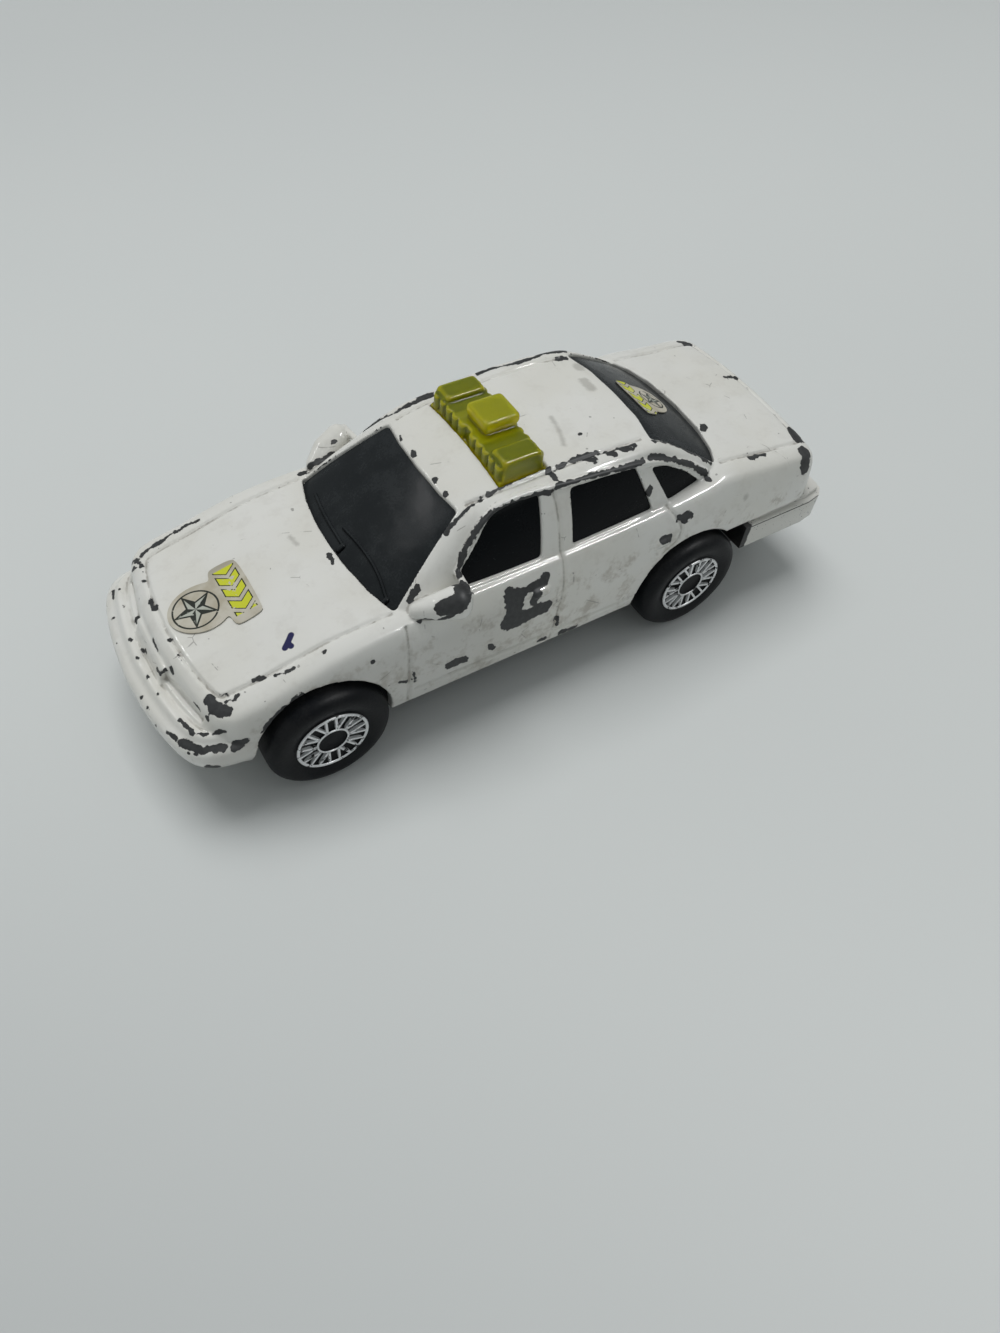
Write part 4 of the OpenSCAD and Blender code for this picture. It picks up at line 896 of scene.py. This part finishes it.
enamel, tree = finish("enamel")
at = millimetres(tree)
x, y, z = split(tree, at)
known = {name: put(tree, "ShaderNodeAttribute", out=2, attribute_name=name)
         for name in ("wear", "ink", "smudge", "bend")}
bare = put(tree, "ShaderNodeGroup", {"Place": at, "Bend": known["bend"], "Field": known["wear"]},
           node_tree=chipped)
broad, patch, fine = grain(tree, at, 0.12, 2.0), grain(tree, at, 0.5, 4.0), grain(tree, at, 2.2, 4.0)
white = tint(tree, step(tree, broad, 0.35, 0.65), (0.76, 0.755, 0.72, 1), (0.73, 0.72, 0.67, 1))
# grime and painted shade: the hollows and panel lines are darkened in patches
crease_grime_and_painted_shade = calc(tree, "MULTIPLY", step(tree, known["bend"], -0.5, -2.2), step(tree, patch, 0.3, 0.6))
white = tint(tree, calc(tree, "MULTIPLY", crease_grime_and_painted_shade, 0.6), white, (0.17, 0.15, 0.12, 1))
flank = calc(tree, "MULTIPLY", step(tree, calc(tree, "ABSOLUTE", y), 11.3, 12.2), step(tree, z, 15.5, 12.5))
spread = calc(tree, "MULTIPLY_ADD", calc(tree, "SUBTRACT", fine, 0.5), 0.5, patch)
soil = calc(tree, "MULTIPLY", step(tree, spread, 0.47, 0.75), calc(tree, "MULTIPLY_ADD", flank, 0.36, 0.08))
white = tint(tree, soil, white, (0.24, 0.19, 0.13, 1))
# painted shade: the lower flanks are greyed towards the front
painted_light_film = calc(tree, "MULTIPLY", calc(tree, "MULTIPLY", flank, step(tree, x, -3.0, 8.0)), 0.32)
white = tint(tree, painted_light_film, white, (0.3, 0.295, 0.27, 1))
specks = step(tree, grain(tree, at, 1.9, 0.0), 0.85, 0.88)
white = tint(tree, calc(tree, "MULTIPLY", specks, 0.55), white, (0.12, 0.11, 0.1, 1))
seam = put(tree, "ShaderNodeTexVoronoi", {"Vector": at, "Scale": 0.11, "Randomness": 1.0},
           feature="DISTANCE_TO_EDGE")
hair = calc(tree, "MULTIPLY", step(tree, seam, 0.006, 0.002), step(tree, patch, 0.56, 0.62))
white = tint(tree, calc(tree, "MULTIPLY", hair, 0.5), white, (0.14, 0.13, 0.12, 1))
ragged = calc(tree, "MULTIPLY_ADD", calc(tree, "SUBTRACT", fine, 0.5), 0.5, known["smudge"])
white = tint(tree, calc(tree, "MULTIPLY", step(tree, ragged, 0.25, -0.2), 0.4), white, (0.2, 0.19, 0.16, 1))
white = tint(tree, step(tree, known["ink"], 0.12, 0.04), white, (0.008, 0.008, 0.075, 1))
zinc = tint(tree, fine, (0.03, 0.031, 0.032, 1), (0.075, 0.077, 0.078, 1))
peel = calc(tree, "MULTIPLY_ADD", grain(tree, at, 0.9, 1.0), 0.3, calc(tree, "MULTIPLY", bare, -1.0))
surface(tree, peel, 0.07, Base_Color=tint(tree, bare, white, zinc),
        Metallic=calc(tree, "MULTIPLY", bare, 0.35), Specular_IOR_Level=0.3,
        Roughness=between(tree, bare, calc(tree, "MULTIPLY_ADD", soil, 0.3, 0.34), 0.5),
        Coat_Weight=calc(tree, "MULTIPLY_ADD", bare, -0.6, 0.6), Coat_Roughness=0.05)
seat(body, "car", "enamel", "body_casting", enamel)


# Labels: two thin paper stickers, an oval badge joined to a short band, one on the hood and one on the rear
# window. They carry a plain star in a ring and a band of chevrons. The paper is beige and its print rubbed.
label_top, label_bed = 0.16, 0.06
chevron_pitch, chevron_wide, chevron_lean, chevron_half = 1.5, 1.08, 0.75, 2.85
star_tip, star_dip, ring_share, point = 0.86, 0.36, 0.93, np.pi / 5


def sticker(name, node, cut, under, start, along, band, centre, size):
    lid = twin(under, name, label_top)
    carve(lid, [prism("blank", rounded(cut, 2, True), "z", 8, 24)], "INTERSECT")
    carve(lid, [twin(under, "bed", label_bed)], "DIFFERENCE")
    smooth(lid, 0.6)
    paper, tree = finish(name)
    at = millimetres(tree)
    x, y, _ = split(tree, at)
    broad, fine = grain(tree, at, 0.6, 3.0), grain(tree, at, 4.0, 4.0)
    length = calc(tree, "MULTIPLY", calc(tree, "SUBTRACT", x, start), along)

    # signed distance to one edge of a five-pointed star, folded about its points
    off = calc(tree, "SUBTRACT", length, centre)
    reach = calc(tree, "SQRT", calc(tree, "MULTIPLY_ADD", off, off, calc(tree, "MULTIPLY", y, y)))
    bearing = calc(tree, "ARCTAN2", y, off)
    fold = calc(tree, "PINGPONG", bearing, point)
    tip, dip = size * star_tip, size * star_dip
    edge = np.array((dip * np.cos(point) - tip, dip * np.sin(point)))
    edge /= np.hypot(*edge)
    ahead = calc(tree, "SUBTRACT", calc(tree, "MULTIPLY", reach, calc(tree, "COSINE", fold)), tip)
    aside = calc(tree, "MULTIPLY", reach, calc(tree, "SINE", fold))
    star = calc(tree, "SUBTRACT", calc(tree, "MULTIPLY", ahead, edge[1]),
                calc(tree, "MULTIPLY", aside, edge[0]))
    ring = calc(tree, "ABSOLUTE", calc(tree, "SUBTRACT", reach, size * ring_share))
    line = calc(tree, "MINIMUM", ring, calc(tree, "ABSOLUTE", star))
    turned = calc(tree, "MODULO", calc(tree, "ADD", bearing, 2 * np.pi), 2 * point)
    second = calc(tree, "GREATER_THAN", turned, point)
    dark_half = calc(tree, "MULTIPLY", step(tree, star, 0.0, -0.03), second)

    # chevrons across the band, each with a dark rim
    half = (band[1] - band[0]) / 2
    middle = calc(tree, "ABSOLUTE", calc(tree, "SUBTRACT", length, sum(band) / 2))
    across = step(tree, calc(tree, "ABSOLUTE", y), chevron_half, chevron_half - 0.03)
    inside = calc(tree, "MULTIPLY", step(tree, middle, half + 0.05, half + 0.02), across)
    sweep = calc(tree, "ADD", calc(tree, "MULTIPLY_ADD", middle, chevron_lean, y), 4 * chevron_pitch)
    sweep = calc(tree, "MODULO", sweep, chevron_pitch)
    chevron = calc(tree, "MULTIPLY", inside, calc(tree, "LESS_THAN", sweep, chevron_wide))
    rim = calc(tree, "MINIMUM", sweep, calc(tree, "SUBTRACT", chevron_wide, sweep))
    rim = calc(tree, "MINIMUM", rim, calc(tree, "SUBTRACT", half + 0.04, middle))

    kept = step(tree, calc(tree, "MULTIPLY_ADD", fine, 0.6, broad), 0.6, 0.66)
    colour = tint(tree, step(tree, broad, 0.35, 0.7), (0.56, 0.53, 0.45, 1), (0.44, 0.4, 0.31, 1))
    stain = step(tree, calc(tree, "MULTIPLY_ADD", broad, 2.5, y), -0.6, -2.2)
    colour = tint(tree, calc(tree, "MULTIPLY", stain, 0.55), colour, (0.27, 0.25, 0.19, 1))
    pale = calc(tree, "MULTIPLY", step(tree, star, 0.0, -0.05), 0.35)
    colour = tint(tree, pale, colour, (0.3, 0.42, 0.4, 1))
    colour = tint(tree, calc(tree, "MULTIPLY", chevron, kept), colour, (0.6, 0.63, 0.025, 1))
    rims = calc(tree, "MULTIPLY", chevron, step(tree, rim, 0.13, 0.1))
    black = calc(tree, "MAXIMUM", step(tree, line, 0.1, 0.07), rims)
    black = calc(tree, "MAXIMUM", black, dark_half)
    colour = tint(tree, calc(tree, "MULTIPLY", black, kept), colour, (0.016, 0.02, 0.014, 1))
    surface(tree, fine, 0.02, Base_Color=colour, Roughness=calc(tree, "MULTIPLY_ADD", broad, 0.25, 0.45))
    seat(lid, "car", "label_paper", node, paper)


sticker("hood_sticker", "hood_label",
        [(24.5, -3.0), (24.6, 3.2), (24.9, 3.65), (27.0, 3.75), (27.35, 3.3), (27.4, 2.2), (28.2, 2.62),
         (29.2, 2.78), (30.2, 2.6), (31.2, 2.05), (31.95, 1.1), (32.25, 0.1), (32.1, -0.9), (31.5, -1.8),
         (30.5, -2.4), (29.4, -2.62), (28.3, -2.5), (27.5, -2.2), (27.3, -3.2), (26.8, -3.45), (25.2, -3.4)],
        plain, start=24.5, along=1.0, band=(0.45, 2.45), centre=5.2, size=2.2)
sticker("rear_sticker", "rear_window_label",
        [(-16.3, -2.5), (-16.4, 2.8), (-16.8, 3.0), (-18.0, 2.9), (-18.2, 2.3), (-19.4, 2.3), (-20.6, 1.6),
         (-21.1, 0.2), (-20.7, -1.4), (-19.6, -2.2), (-18.2, -2.2), (-18.0, -2.6), (-16.9, -2.7)],
        pane_skin, start=-16.3, along=-1.15, band=(0.35, 1.95), centre=3.65, size=1.5)
for spare in (plain, pane_skin):
    bpy.data.objects.remove(spare)


# Studio: a pale table, painted darker away from the car as light falls off, under one broad soft lamp on the
# far side of the car, with two narrow lamps that draw the bright lines along the paint. The camera stands
# where the photographer stood.
reach = 1500
floor = solid("floor", [(-reach, -reach, 0), (reach, -reach, 0), (reach, reach, 0), (-reach, reach, 0)],
              [(0, 1, 2, 3)])
table, tree = finish("table")
at = millimetres(tree)
x, y, _ = split(tree, at)
# painted shade: the table darkens towards the near front corner and towards the far side
near = step(tree, calc(tree, "MULTIPLY_ADD", x, 0.8, calc(tree, "MULTIPLY", y, 0.6)), 20.0, 110.0)
painted_floor_shade = calc(tree, "MULTIPLY_ADD", step(tree, y, -40.0, -190.0), 0.6, near)
pale = tint(tree, grain(tree, at, 0.02, 2.0), (0.66, 0.685, 0.68, 1), (0.68, 0.7, 0.69, 1))
surface(tree, Base_Color=tint(tree, painted_floor_shade, pale, (0.5, 0.52, 0.52, 1)), Roughness=0.6)
floor.data.materials.append(table)


def lamp(name, place, size, watts):
    data = bpy.data.lights.new(name, "AREA")
    data.shape, data.size, data.size_y, data.energy = "RECTANGLE", size[0], size[1], watts
    obj = bpy.data.objects.new(name, data)
    bpy.context.scene.collection.objects.link(obj)
    obj.location = place
    obj.rotation_euler = (-Vector(place)).to_track_quat("-Z", "Y").to_euler()
    return obj


lamp("soft", (0.02, -0.24, 0.75), (0.5, 0.45), 3.6).visible_glossy = False
lamp("narrow_left", (-0.24, 0.29, 0.54), (0.25, 0.05), 2.6).visible_diffuse = False
lamp("narrow_front", (0.4, -0.39, 0.57), (0.25, 0.05), 0.6).visible_diffuse = False
world = bpy.data.worlds.new("room")
bpy.context.scene.world = world
world.use_nodes = True
glow = world.node_tree.nodes["Background"].inputs
glow["Color"].default_value = (0.95, 1.0, 1.0, 1)
glow["Strength"].default_value = 0.31

view = bpy.data.cameras.new("camera")
view.sensor_width, view.clip_start = 36.0, 0.001
view.lens = focal * view.sensor_width / photo_high
camera = bpy.data.objects.new("camera", view)
bpy.context.scene.collection.objects.link(camera)
camera.matrix_world = Matrix.Translation(eye) @ Matrix((right, -down, -ahead)).transposed().to_4x4()
bpy.context.scene.camera = camera
bpy.context.scene.view_settings.view_transform = "Standard"
